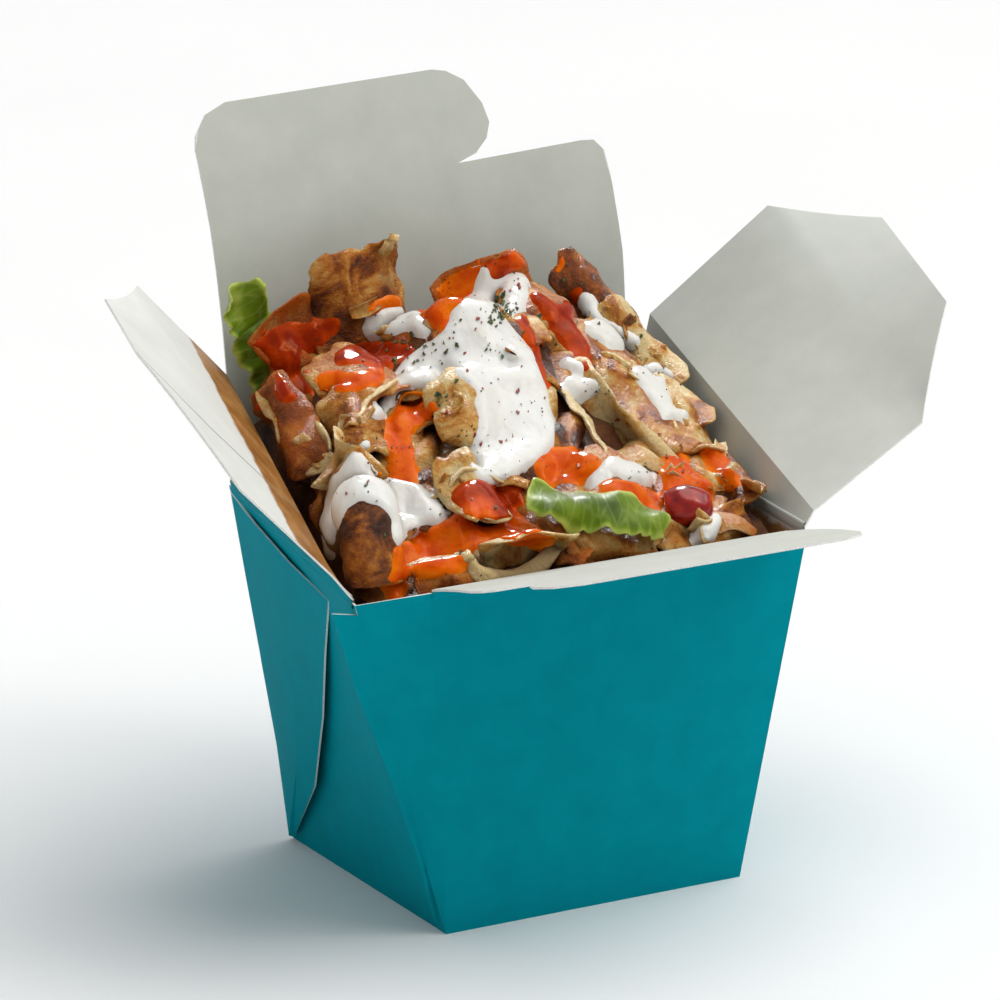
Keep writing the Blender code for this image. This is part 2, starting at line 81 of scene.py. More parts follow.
def set_camera():
    lens = bpy.data.cameras.new("view_of_photo")
    lens.lens, lens.sensor_width = LENS, SENSOR
    lens.shift_x, lens.shift_y = SHIFT_X, SHIFT_Y
    lens.clip_start = 0.05
    camera = bpy.data.objects.new("view_of_photo", lens)
    turn = Matrix((RIGHTWARD, UPWARD, BACKWARD)).transposed()
    camera.matrix_world = Matrix.Translation(EYE) @ turn.to_4x4()
    bpy.context.scene.collection.objects.link(camera)
    bpy.context.scene.camera = camera


def seen_at(points):
    """Where points in metres show in the photograph, in pixels."""
    rel = np.asarray(points) - np.array(EYE)
    depth = -(rel @ np.array(BACKWARD))
    x = CENTRE_PX[0] + FOCAL_PX * (rel @ np.array(RIGHTWARD)) / depth
    y = CENTRE_PX[1] - FOCAL_PX * (rel @ np.array(UPWARD)) / depth
    return x, y


def ray_through(px, py):
    """The direction from the eye through a pixel of the photograph."""
    side = RIGHTWARD * ((px - CENTRE_PX[0]) / FOCAL_PX)
    lift = UPWARD * ((CENTRE_PX[1] - py) / FOCAL_PX)
    return (side + lift - BACKWARD).normalized()


def joined(meshes):
    """The points and faces of several meshes as one."""
    verts, faces = [], []
    for mesh in meshes:
        first = len(verts)
        verts += [v.co.copy() for v in mesh.vertices]
        faces += [[first + k for k in p.vertices] for p in mesh.polygons]
    return verts, faces


def plane_across(node, first, second):
    """The plane that stands on a flap along a line between two seen points."""
    flap = BVHTree.FromPolygons(*joined([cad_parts[node].data]))
    middle = ((first[0] + second[0]) / 2, (first[1] + second[1]) / 2)
    spot, up, _, _ = flap.ray_cast(EYE, ray_through(*middle))
    ends = [EYE + way * ((spot - EYE).dot(up) / way.dot(up))
            for way in (ray_through(*first), ray_through(*second))]
    away = (ends[1] - ends[0]).cross(up).normalized()
    if away.x < 0:
        away = -away
    return away, away.dot(spot)


# Materials
def colour(hex_code):
    """An sRGB hex colour as linear RGBA."""
    parts = [int(hex_code[k:k + 2], 16) / 255 for k in (1, 3, 5)]
    return [c / 12.92 if c <= 0.04045 else ((c + 0.055) / 1.055) ** 2.4
            for c in parts] + [1.0]


def fill(tree, node, inputs):
    """Set a node's inputs: a socket is linked, anything else is its own value."""
    for name, value in inputs.items():
        if isinstance(value, bpy.types.NodeSocket):
            tree.links.new(value, node.inputs[name])
        else:
            node.inputs[name].default_value = value


def add(tree, kind, settings=None, inputs=None):
    """Add a node with its settings, and with values or links on its inputs."""
    made = tree.nodes.new(kind)
    for name, value in (settings or {}).items():
        if name == "stops":
            ramp = made.color_ramp
            while len(ramp.elements) < len(value):
                ramp.elements.new(0.5)
            for element, (place, hex_code) in zip(ramp.elements, value):
                element.position = place
                element.color = colour(hex_code)
        else:
            setattr(made, name, value)
    fill(tree, made, inputs or {})
    return made


def finish_named(name):
    """A new material's tree, its Principled shader, and object-space places."""
    made = bpy.data.materials.new(name)
    made.use_nodes = True
    tree = made.node_tree
    shader = tree.nodes["Principled BSDF"]
    place = add(tree, "ShaderNodeTexCoord").outputs["Object"]
    return made, tree, shader, place


def per_mm(size):
    """The scale of a noise whose cells are this many millimetres."""
    return 1000.0 / size


def printed_board():
    # Coated carton board, offset printed and lacquered: an even satin teal
    # that shows only the faint unevenness of the board under it. Its fibres
    # are some 0.03 mm wide; they are drawn as clumps of 0.9 mm, to show at all.
    made, tree, shader, place = finish_named("printed_lacquered_board")
    board = add(tree, "ShaderNodeTexNoise", inputs={
        "Vector": place, "Scale": per_mm(9), "Detail": 3, "Roughness": 0.6})
    tint = add(tree, "ShaderNodeValToRGB", {"stops": [
        (0.3, "#028A99"), (0.7, "#0292A1")]}, {"Fac": board.outputs["Fac"]})
    fibre = add(tree, "ShaderNodeTexNoise", inputs={
        "Vector": place, "Scale": per_mm(0.9), "Detail": 4, "Roughness": 0.65})
    bump = add(tree, "ShaderNodeBump", inputs={
        "Strength": 0.12, "Distance": 0.0001, "Height": fibre.outputs["Fac"]})
    sheen = add(tree, "ShaderNodeMapRange", inputs={
        "Value": board.outputs["Fac"], "To Min": 0.5, "To Max": 0.62})
    fill(tree, shader, {
        "Base Color": tint.outputs["Color"], "Roughness": sheen.outputs["Result"],
        "Normal": bump.outputs["Normal"], "IOR": 1.45, "Specular IOR Level": 0.01})
    return made


def bare_board(name, soak=None, score=None, clean="#E2E4DF", shade="#D8DBD5"):
    # Bleached board, uncoated inside: matt off-white with soft fibre clouds,
    # soaked brown by fat and sauce on the food's side of the soak plane, with
    # a thin dark grey line where the score plane cuts it: painted shade in the
    # crease of a pressed score. A plane is a direction and its distance from
    # the carton's origin in metres. The
    # fibres are drawn as clumps of 0.7 mm, far coarser than real ones.
    made, tree, shader, place = finish_named(name)
    cloud = add(tree, "ShaderNodeTexNoise", inputs={
        "Vector": place, "Scale": per_mm(14), "Detail": 4, "Roughness": 0.6})
    white = add(tree, "ShaderNodeValToRGB", {"stops": [
        (0.3, shade), (0.7, clean)]}, {"Fac": cloud.outputs["Fac"]})
    fibre = add(tree, "ShaderNodeTexNoise", inputs={
        "Vector": place, "Scale": per_mm(0.7), "Detail": 5, "Roughness": 0.7})
    bump = add(tree, "ShaderNodeBump", inputs={
        "Strength": 0.2, "Distance": 0.0001, "Height": fibre.outputs["Fac"]})
    paint, rough = white.outputs["Color"], 0.62
    if soak:
        creep = add(tree, "ShaderNodeTexNoise", inputs={
            "Vector": place, "Scale": per_mm(7), "Detail": 4, "Roughness": 0.6})
        past = add(tree, "ShaderNodeVectorMath", {"operation": "DOT_PRODUCT"}, {
            0: place, 1: tuple(soak[0])})
        ragged = add(tree, "ShaderNodeMath", {"operation": "MULTIPLY_ADD"}, {
            0: creep.outputs["Fac"], 1: 0.006, 2: past.outputs["Value"]})
        soaked = add(tree, "ShaderNodeMapRange", {"interpolation_type": "SMOOTHSTEP"}, {
            "Value": ragged.outputs[0], "From Min": soak[1] + 0.0025,
            "From Max": soak[1] + 0.0045})
        stain = add(tree, "ShaderNodeValToRGB", {"stops": [
            (0.25, "#7E5128"), (0.5, "#A8743C"), (0.8, "#C79A63")]},
            {"Fac": creep.outputs["Fac"]})
        both = add(tree, "ShaderNodeMix", {"data_type": "RGBA"}, {
            0: soaked.outputs["Result"], 6: paint, 7: stain.outputs["Color"]})
        paint = both.outputs[2]
        wet = add(tree, "ShaderNodeMapRange", inputs={
            "Value": soaked.outputs["Result"], "To Min": rough, "To Max": 0.34})
        rough = wet.outputs["Result"]
    if score:
        # Painted shade: a thin #8A8C86 line stands for the shadow in the score's crease.
        across = add(tree, "ShaderNodeVectorMath", {"operation": "DOT_PRODUCT"}, {
            0: place, 1: tuple(score[0])})
        line = add(tree, "ShaderNodeMath", {"operation": "COMPARE"}, {
            0: across.outputs["Value"], 1: score[1], 2: 0.0004})
        painted_score_shade = add(tree, "ShaderNodeMix", {"data_type": "RGBA"}, {
            0: line.outputs[0], 6: paint, 7: colour("#8A8C86")})
        paint = painted_score_shade.outputs[2]
    fill(tree, shader, {
        "Base Color": paint, "Roughness": rough, "Normal": bump.outputs["Normal"],
        "IOR": 1.45, "Specular IOR Level": 0.08})
    return made


def cut_board_edge():
    # Knife-cut edge of the board: plies of white fibre, a touch rough. The
    # real plies are under 0.1 mm; they are drawn at 0.4 mm, to show at all.
    made, tree, shader, place = finish_named("cut_board_edge")
    plies = add(tree, "ShaderNodeTexNoise", inputs={
        "Vector": place, "Scale": per_mm(0.4), "Detail": 2})
    tint = add(tree, "ShaderNodeValToRGB", {"stops": [
        (0.35, "#D8D9D4"), (0.65, "#F4F4F1")]}, {"Fac": plies.outputs["Fac"]})
    fill(tree, shader, {
        "Base Color": tint.outputs["Color"], "Roughness": 0.75})
    return made


def roast_meat(name, ramp, gloss):
    # Thin slices off a roast: browned and fatty in patches, with a fine grain
    # of fibres, thin pale edges and a wet film of fat. The pale edges are partly
    # paler cut meat and partly a painted highlight of lit rims. The nooks between
    # slices get painted shade, darker the more sky the food close above blocks.
    # Bundles of fibres of about 0.5 mm are drawn at 1.3 mm, as finer ones don't
    # show.
    made, tree, shader, place = finish_named(name)
    tone, edge, stain, nook = [
        add(tree, "ShaderNodeAttribute", {"attribute_name": field}).outputs["Fac"]
        for field in ("tone", "edge", "stain", "nook")]
    along = add(tree, "ShaderNodeAttribute", {"attribute_name": "grain"}).outputs["Vector"]
    patch = add(tree, "ShaderNodeTexNoise", inputs={
        "Vector": place, "Scale": per_mm(9), "Detail": 5, "Roughness": 0.6,
        "Distortion": 0.6})
    stretched = add(tree, "ShaderNodeMapping", inputs={
        "Vector": along, "Scale": (1.0, 0.5, 1.0)})
    fibre = add(tree, "ShaderNodeTexNoise", inputs={
        "Vector": stretched.outputs["Vector"], "Scale": per_mm(1.3), "Detail": 6,
        "Roughness": 0.7})
    pores = add(tree, "ShaderNodeTexNoise", inputs={
        "Vector": place, "Scale": per_mm(1.1), "Detail": 4, "Roughness": 0.7})
    swing = add(tree, "ShaderNodeMath", {"operation": "MULTIPLY_ADD"}, {
        0: patch.outputs["Fac"], 1: 2.3, 2: -1.15})
    grain = add(tree, "ShaderNodeMath", {"operation": "MULTIPLY_ADD"}, {
        0: fibre.outputs["Fac"], 1: 0.5, 2: -0.25})
    browned = add(tree, "ShaderNodeMath", {"operation": "ADD"}, {
        0: tone, 1: swing.outputs[0]})
    fine = add(tree, "ShaderNodeMath", {"operation": "ADD"}, {
        0: browned.outputs[0], 1: grain.outputs[0]})
    # The pale border: partly paler cut meat, partly a painted highlight on lit rims.
    paler_and_lit_rims = add(tree, "ShaderNodeMath", {"operation": "MULTIPLY_ADD", "use_clamp": True}, {
        0: edge, 1: -0.3, 2: fine.outputs[0]})
    brown = add(tree, "ShaderNodeValToRGB", {"stops": ramp}, {"Fac": paler_and_lit_rims.outputs[0]})
    smear = add(tree, "ShaderNodeTexNoise", inputs={
        "Vector": place, "Scale": per_mm(5), "Detail": 4, "Roughness": 0.6})
    wet = add(tree, "ShaderNodeMath", {"operation": "MULTIPLY_ADD"}, {
        0: smear.outputs["Fac"], 1: 1.6, 2: -0.75})
    oiled = add(tree, "ShaderNodeMath", {"operation": "ADD"}, {0: wet.outputs[0], 1: stain})
    film = add(tree, "ShaderNodeMath", {"operation": "MULTIPLY", "use_clamp": True}, {
        0: oiled.outputs[0], 1: stain})
    dyed = add(tree, "ShaderNodeMix", {"data_type": "RGBA"}, {
        0: film.outputs[0], 6: brown.outputs["Color"], 7: colour("#BC5A12")})
    # Painted shade: each point darkens towards #3A1A08 by how much sky the food close above it
    # blocks.
    painted_nook_darkening = add(tree, "ShaderNodeMapRange", {"interpolation_type": "SMOOTHSTEP"}, {
        "Value": nook, "From Min": 0.05, "From Max": 0.75, "To Max": 0.78})
    deep = add(tree, "ShaderNodeMix", {"data_type": "RGBA"}, {
        0: painted_nook_darkening.outputs["Result"], 6: dyed.outputs[2], 7: colour("#3A1A08")})
    height = add(tree, "ShaderNodeMath", {"operation": "ADD"}, {
        0: fibre.outputs["Fac"], 1: pores.outputs["Fac"]})
    bump = add(tree, "ShaderNodeBump", inputs={
        "Strength": 0.9, "Distance": 0.0008, "Height": height.outputs[0]})
    dry = add(tree, "ShaderNodeMapRange", inputs={
        "Value": pores.outputs["Fac"], "From Min": 0.3, "From Max": 0.7,
        "To Min": gloss, "To Max": gloss + 0.25})
    fill(tree, shader, {
        "Base Color": deep.outputs[2], "Roughness": dry.outputs["Result"],
        "Normal": bump.outputs["Normal"], "Subsurface Weight": 0.06,
        "Subsurface Radius": (1.0, 0.45, 0.2), "Subsurface Scale": 0.002,
        "Specular IOR Level": 0.35, "IOR": 1.42})
    return made


MEAT_RAMP = [(0.0, "#EACF95"), (0.2, "#DCAC5E"), (0.42, "#C47C28"), (0.6, "#985216"),
             (0.8, "#582B0D"), (1.0, "#2E1406")]
# The bed's ramp is darker than the slices': partly the chopped meat's own browner colour,
# partly painted shade for the gaps between slices.
BED_SHADED_RAMP = [(0.0, "#8A5A28"), (0.3, "#69401A"), (0.6, "#4A2A10"), (0.85, "#311A0A"),
            (1.0, "#1F1006")]


def yoghurt_sauce():
    # Yoghurt and garlic sauce, poured: opaque cream white, smooth and glossy,
    # in soft folds that run downwards, with light bleeding through thin rims.
    made, tree, shader, place = finish_named("poured_yoghurt_sauce")
    cloud = add(tree, "ShaderNodeTexNoise", inputs={
        "Vector": place, "Scale": per_mm(11), "Detail": 3})
    tint = add(tree, "ShaderNodeValToRGB", {"stops": [
        (0.3, "#E6E3DA"), (0.7, "#F1F0EB")]}, {"Fac": cloud.outputs["Fac"]})
    run = add(tree, "ShaderNodeMapping", inputs={"Vector": place, "Scale": (1.0, 1.0, 0.35)})
    ripple = add(tree, "ShaderNodeTexNoise", inputs={
        "Vector": run.outputs["Vector"], "Scale": per_mm(5), "Detail": 2, "Roughness": 0.4})
    bump = add(tree, "ShaderNodeBump", inputs={
        "Strength": 0.6, "Distance": 0.0016, "Height": ripple.outputs["Fac"]})
    fill(tree, shader, {
        "Base Color": tint.outputs["Color"], "Normal": bump.outputs["Normal"],
        "Roughness": 0.24, "Subsurface Weight": 0.3, "Subsurface Radius": (1.0, 0.8, 0.6),
        "Subsurface Scale": 0.0015, "IOR": 1.38})
    return made


def chilli_sauce():
    # Sweet chilli sauce, poured: a clear orange-red gel, orange where it is
    # thin and blood red where it pools, very glossy, with specks of chilli.
    made, tree, shader, place = finish_named("poured_chilli_sauce")
    depth = add(tree, "ShaderNodeAttribute", {"attribute_name": "depth"}).outputs["Fac"]
    pool = add(tree, "ShaderNodeTexNoise", inputs={
        "Vector": place, "Scale": per_mm(6), "Detail": 3, "Distortion": 0.8})
    pooled = add(tree, "ShaderNodeMath", {"operation": "MULTIPLY_ADD"}, {
        0: pool.outputs["Fac"], 1: 0.55, 2: -0.27})
    level = add(tree, "ShaderNodeMath", {"operation": "ADD", "use_clamp": True}, {
        0: depth, 1: pooled.outputs[0]})
    tint = add(tree, "ShaderNodeValToRGB", {"stops": [
        (0.0, "#F59A22"), (0.3, "#F27A0A"), (0.55, "#D84C06"), (0.8, "#9C2606"),
        (1.0, "#661005")]}, {"Fac": level.outputs[0]})
    specks = add(tree, "ShaderNodeTexVoronoi", inputs={
        "Vector": place, "Scale": per_mm(1.6), "Randomness": 1.0})
    dot = add(tree, "ShaderNodeMapRange", inputs={
        "Value": specks.outputs["Distance"], "From Min": 0.08, "From Max": 0.16,
        "To Min": 0.55, "To Max": 0.0})
    spotted = add(tree, "ShaderNodeMix", {"data_type": "RGBA"}, {
        0: dot.outputs["Result"], 6: tint.outputs["Color"], 7: colour("#8E1C0C")})
    ripple = add(tree, "ShaderNodeTexNoise", inputs={
        "Vector": place, "Scale": per_mm(2.6), "Detail": 3})
    bump = add(tree, "ShaderNodeBump", inputs={
        "Strength": 0.4, "Distance": 0.0006, "Height": ripple.outputs["Fac"]})
    fill(tree, shader, {
        "Base Color": spotted.outputs[2], "Normal": bump.outputs["Normal"],
        "Roughness": 0.13, "Subsurface Weight": 0.05,
        "Subsurface Radius": (1.0, 0.25, 0.08), "Subsurface Scale": 0.001,
        "Specular IOR Level": 0.4, "Specular Tint": colour("#FFA050"), "IOR": 1.42})
    return made


def lettuce_leaf():
    # Frilled lettuce: yellow-green blade, paler at the rib and the frilled
    # rim, with branching veins raised on a waxy surface.
    made, tree, shader, place = finish_named("lettuce_leaf")
    rib = add(tree, "ShaderNodeAttribute", {"attribute_name": "edge"}).outputs["Fac"]
    grain = add(tree, "ShaderNodeAttribute", {"attribute_name": "grain"}).outputs["Vector"]
    outward = add(tree, "ShaderNodeMapping", inputs={
        "Vector": grain, "Scale": (1.0, 0.3, 1.0)})
    veins = add(tree, "ShaderNodeTexVoronoi", {"feature": "DISTANCE_TO_EDGE"}, {
        "Vector": outward.outputs["Vector"], "Scale": per_mm(2.6)})
    vein = add(tree, "ShaderNodeMapRange", inputs={
        "Value": veins.outputs["Distance"], "From Max": 0.1, "To Min": 0.12, "To Max": 0.0})
    cloud = add(tree, "ShaderNodeTexNoise", inputs={
        "Vector": place, "Scale": per_mm(8), "Detail": 3})
    blade = add(tree, "ShaderNodeMath", {"operation": "MULTIPLY_ADD"}, {
        0: rib, 1: 0.55, 2: cloud.outputs["Fac"]})
    tint = add(tree, "ShaderNodeValToRGB", {"stops": [
        (0.3, "#3E5808"), (0.6, "#6A8414"), (1.0, "#B8C65C")]},
        {"Fac": blade.outputs[0]})
    veined = add(tree, "ShaderNodeMix", {"data_type": "RGBA"}, {
        0: vein.outputs["Result"], 6: tint.outputs["Color"], 7: colour("#C6D68A")})
    bump = add(tree, "ShaderNodeBump", inputs={
        "Strength": 0.5, "Distance": 0.0005, "Height": vein.outputs["Result"]})
    fill(tree, shader, {
        "Base Color": veined.outputs[2], "Normal": bump.outputs["Normal"],
        "Roughness": 0.42, "Specular IOR Level": 0.12, "Subsurface Weight": 0.15,
        "Subsurface Radius": (0.5, 1.0, 0.2), "Subsurface Scale": 0.001})
    return made


def tomato_flesh():
    # Cut tomato: wet dark red flesh with a smooth tight skin.
    made, tree, shader, place = finish_named("cut_tomato")
    flesh = add(tree, "ShaderNodeTexNoise", inputs={
        "Vector": place, "Scale": per_mm(3), "Detail": 4})
    tint = add(tree, "ShaderNodeValToRGB", {"stops": [
        (0.3, "#7A0F0C"), (0.55, "#A3180F"), (0.75, "#C23A1E")]},
        {"Fac": flesh.outputs["Fac"]})
    bump = add(tree, "ShaderNodeBump", inputs={
        "Strength": 0.3, "Distance": 0.0005, "Height": flesh.outputs["Fac"]})
    fill(tree, shader, {
        "Base Color": tint.outputs["Color"], "Normal": bump.outputs["Normal"],
        "Roughness": 0.18, "Subsurface Weight": 0.15,
        "Subsurface Radius": (1.0, 0.2, 0.1), "Subsurface Scale": 0.002})
    return made


def dried_flake(name, dark, light, rough):
    # Dried and crushed leaf, pod or corn: dull, broken into two shades, in
    # patches about as large as a flake, so that one differs from the next.
    made, tree, shader, place = finish_named(name)
    broken = add(tree, "ShaderNodeTexNoise", inputs={
        "Vector": place, "Scale": per_mm(1.2), "Detail": 3})
    tint = add(tree, "ShaderNodeValToRGB", {"stops": [(0.35, dark), (0.65, light)]},
               {"Fac": broken.outputs["Fac"]})
    fill(tree, shader, {
        "Base Color": tint.outputs["Color"], "Roughness": rough})
    return made


# Meshes
def piece(name, verts, faces, materials, body, slot, smooth=True, indices=None):
    """A piece of the scene from points in metres; it rides on a body."""
    mesh = bpy.data.meshes.new(name)
    mesh.from_pydata([tuple(v) for v in verts], [], [tuple(f) for f in faces])
    for material in materials:
        mesh.materials.append(material)
    if indices is not None:
        mesh.polygons.foreach_set("material_index", indices)
    mesh.polygons.foreach_set("use_smooth", [smooth] * len(mesh.polygons))
    mesh.update()
    obj = bpy.data.objects.new(name, mesh)
    bpy.context.scene.collection.objects.link(obj)
    if body:
        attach(obj, body)
    return obj


def paint_points(obj, **fields):
    """Store a number or a vector for each point, for the material to read."""
    for name, values in fields.items():
        values = np.asarray(values, np.float32)
        kind = "FLOAT_VECTOR" if values.ndim == 2 else "FLOAT"
        layer = obj.data.attributes.new(name, kind, "POINT")
        layer.data.foreach_set("vector" if kind == "FLOAT_VECTOR" else "value",
                               values.ravel())


def face_outwards(obj):
    """Turn every face of a mesh of closed shells to look outwards."""
    bm = bmesh.new()
    bm.from_mesh(obj.data)
    bmesh.ops.recalc_face_normals(bm, faces=bm.faces[:])
    bm.to_mesh(obj.data)
    bm.free()


def read(items, field, width, kind=np.float32):
    """A field of a mesh's points or edges, as rows of numbers."""
    values = np.empty(len(items) * width, kind)
    items.foreach_get(field, values)
    return values.reshape(-1, width)


def edge_mean(values, edges, rounds):
    """Average a field over the mesh's edges a few times."""
    degree = np.bincount(edges.ravel(), minlength=len(values)) + 1.0
    for _ in range(rounds):
        total = values.copy()
        np.add.at(total, edges[:, 0], values[edges[:, 1]])
        np.add.at(total, edges[:, 1], values[edges[:, 0]])
        values = total / degree
    return values


# The carton's inner outline, needed to keep food inside it
BASE_CORNERS = [(-41, -39.5), (-41, -37.5), (-41, 39.5), (41, 39.5), (41, -39.5)]
RIM_CORNERS = [(-51.5, -51.5), (-69, -47.1), (-51.5, 51.5), (61.5, 51.5), (51.5, -51.5)]
RIM_HEIGHT = 90.0


def wall_gap(x, y, z):
    """How far a point in millimetres is inside the walls at its height."""
    t = min(1.0, max(0.0, z / RIM_HEIGHT))
    corners = [Vector(b).lerp(Vector(r), t) for b, r in zip(BASE_CORNERS, RIM_CORNERS)]
    gaps = []
    for a, b in zip(corners, corners[1:] + corners[:1]):
        along = (b - a).normalized()
        gaps.append((x - a.x) * along.y - (y - a.y) * along.x)
    return min(gaps)


# Carton and flaps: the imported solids, sorted into print, board and cut edges
PRINT, INSIDE, CUT, CLEAN_FOLD = range(4)    # the order of a card's materials
WELD = 0.00001                # points closer than this are one, in metres
CUT_WIDTH = 0.0006            # a face as narrow as this may be a cut edge
RIM_FROM = 0.0865             # above this the carton's narrow faces are cut edges
FOLD_FRONT, FOLD_FOOT = -0.037, 0.0015       # so are those of the left folds
LEVEL = 0.9                   # a face that looks up or down as steeply as this
TURN_OF_CUT = 1.2             # radians between a cut edge and the face beside it
OUT_OF_WALLS = -1.0           # millimetres: from here on a fold is outside the walls
SHARP_CARTON, SHARP_FLAP = 7, 22             # degrees from which an edge shows as sharp


def is_cut(node, face, middle):
    """Whether a face is a card's cut edge: a narrow strip beside a sharp turn."""
    longest = max(e.calc_length() for e in face.edges)
    if 2 * face.calc_area() / max(longest, 1e-9) >= CUT_WIDTH:
        return False
    on_left_fold = middle.x < 0 and middle.y > FOLD_FRONT and middle.z > FOLD_FOOT
    if node == "carton" and middle.z < RIM_FROM and not on_left_fold:
        return False
    return abs(face.normal.z) > LEVEL or any(
        e.calc_face_angle(0) > TURN_OF_CUT for e in face.edges)


def card_piece(node, body, materials):
    """A card's own mesh, each face told apart by where it looks."""
    bm = bmesh.new()
    bm.from_mesh(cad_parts[node].data)
    bmesh.ops.remove_doubles(bm, verts=bm.verts[:], dist=WELD)
    bm.normal_update()
    kinds = []
    for face in bm.faces:
        middle, normal = face.calc_center_median(), face.normal
        if is_cut(node, face, middle):
            kinds.append(CUT)
        elif node == "carton":
            outwards = normal.x * middle.x + normal.y * middle.y > 0
            printed = normal.z < -LEVEL or outwards and normal.z < LEVEL
            within = wall_gap(*(middle / MM)) > OUT_OF_WALLS
            kinds.append(PRINT if printed else INSIDE if within else CLEAN_FOLD)
        else:
            printed = normal.y > 0 if node == "back_flap" else normal.z < 0
            kinds.append(PRINT if printed else INSIDE)
    verts = [v.co.copy() for v in bm.verts]
    faces = [[v.index for v in f.verts] for f in bm.faces]
    bm.free()
    obj = piece(node + "_board", verts, faces, materials, body, "card", indices=kinds)
    sharp = SHARP_CARTON if node == "carton" else SHARP_FLAP
    obj.data.set_sharp_from_angle(angle=math.radians(sharp))
    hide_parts(node)


# Crease strips: the folded card between the rim and each flap. Each one: the
# ends of its line in millimetres, the way out of the wall, and the flap's lean
CREASES = {
    "back": ((-50.6, 51.4, 90), (60.8, 51.4, 90), (0, 1, 0), (0, 0.02, 1)),
    "front": ((-51, -51.25, 90), (45.2, -51.25, 90), (0, -1, 0.13), (0, -0.8, 0.6)),
    "left": ((-68.4, -45.0, 88.6), (-51.2, 50.2, 90), (-0.98, 0.17, 0), (-0.25, 0, 0.97)),
    "right": ((51.3, -50.0, 90), (61.0, 50.0, 90), (0.99, -0.1, 0), (0.25, 0, 0.97)),
}
CREASE_STEPS = 24
CREASE_REACH = [-1.4, -0.7, 0.0, 0.25, 0.5, 1.0, 1.7]    # mm past the line, up the flap
CREASE_HALF = 0.00031                        # half the strip's thickness, in metres


def crease(side, materials):
    """A strip of card that follows the rim, then the flap's first millimetre."""
    start, stop, out, lean = CREASES[side]
    start, stop = Vector(start) * MM, Vector(stop) * MM
    out, lean = Vector(out).normalized(), Vector(lean).normalized()
    verts, faces, kinds = [], [], []
    for k in range(CREASE_STEPS + 1):
        root = start.lerp(stop, k / CREASE_STEPS)
        for h in CREASE_REACH:
            up = Vector((0, 0, 1)) if h <= 0 else lean
            at = root + up * (h * MM)
            normal = out if h <= 0 else (out - lean * out.dot(lean)).normalized()
            verts += [at + normal * CREASE_HALF, at - normal * CREASE_HALF]
    row = 2 * len(CREASE_REACH)
    top = row - 2
    for k in range(CREASE_STEPS):
        a, b = k * row, (k + 1) * row
        for j in range(0, top, 2):
            faces.append((a + j, b + j, b + j + 2, a + j + 2))
            faces.append((a + j + 1, a + j + 3, b + j + 3, b + j + 1))
        faces += [(a, a + 1, b + 1, b), (a + top, b + top, b + top + 1, a + top + 1)]
        kinds += [PRINT, INSIDE] * len(CREASE_REACH)
    strip = piece(side + "_crease_strip", verts, faces, materials, None, None, indices=kinds)
    middle = start.lerp(stop, 0.5)
    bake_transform(strip)


# The bed of food, in millimetres
DOME_FOOT, DOME_RISE, PEAK_RISE = 83.0, 42.0, 9.0
BED_EDGE = 80.0                  # where the dome springs from the sides
BED_GAP = 2.4                    # from the walls
BED_MIDDLE = Vector((0, 10))
SIDE_STEPS, DOME_RINGS = 26, 34


def dome(x, y):
    """Height of the bed of food above the underside."""
    side = 1 - (abs(x + 4) / 70.0) ** 2.2              # falls to the left and right
    front = min(1.0, max(0.0, (y + 52.0) / 72.0))      # climbs from the front rim
    back = 1 - max(0.0, (y - 22) / 62.0) ** 2          # falls behind the top
    peak = PEAK_RISE * math.exp(-(x * x + (y - 20) ** 2) / 420.0)
    return DOME_FOOT + DOME_RISE * max(0.0, side) * front ** 0.85 * back + peak


def bed_mesh(floor):
    """Points and faces of the bed, from a floor height up over the dome."""
    rings = []
    for z in (floor, mix(floor, BED_EDGE, 0.5), BED_EDGE):
        ring = []
        for k in range(5):
            after = (k + 1) % 5
            for s in range(SIDE_STEPS):
                low = Vector(BASE_CORNERS[k]).lerp(Vector(BASE_CORNERS[after]), s / SIDE_STEPS)
                high = Vector(RIM_CORNERS[k]).lerp(Vector(RIM_CORNERS[after]), s / SIDE_STEPS)
                flat = low.lerp(high, z / RIM_HEIGHT)
                flat -= flat.normalized() * BED_GAP
                ring.append(Vector((flat.x, flat.y, z)))
        rings.append(ring)
    edge = rings[-1]
    for n in range(1, DOME_RINGS):
        ring = []
        for p in edge:
            flat = BED_MIDDLE.lerp(Vector((p.x, p.y)), 1 - n / DOME_RINGS)
            lump = 2.2 * noise.noise(Vector((flat.x, flat.y, 0)) / 8.0)
            lump += 0.9 * noise.noise(Vector((flat.x, flat.y, 40)) / 3.0)
            height = max(BED_EDGE + 0.2, dome(flat.x, flat.y) + lump - 0.5)
            ring.append(Vector((flat.x, flat.y, height)))
        rings.append(ring)
    verts = [p * MM for ring in rings for p in ring]
    verts.append(Vector((*BED_MIDDLE, dome(*BED_MIDDLE))) * MM)
    around, faces = len(edge), []
    for row in range(len(rings) - 1):
        for k in range(around):
            a, b = row * around + k, row * around + (k + 1) % around
            faces.append((a, a + around, b + around, b))
    last, tip = (len(rings) - 1) * around, len(verts) - 1
    faces += [(last + k, tip, last + (k + 1) % around) for k in range(around)]
    faces.append(tuple(range(around)))
    return verts, faces


# Slices of meat, in millimetres until they join the mesh
GRID = 0.9                       # between a slice's points
UNEVEN = [(1.5, 9.0, 7), (0.5, 3.6, 9), (0.2, 1.5, 11)]    # height, cells, layer of noise
NARROW_END, END_TAPER = 0.64, 4.0            # how narrow a slice's ends are, and how far in
PALE_BORDER, THIN_BORDER = 0.22, 0.35        # parts of half the width


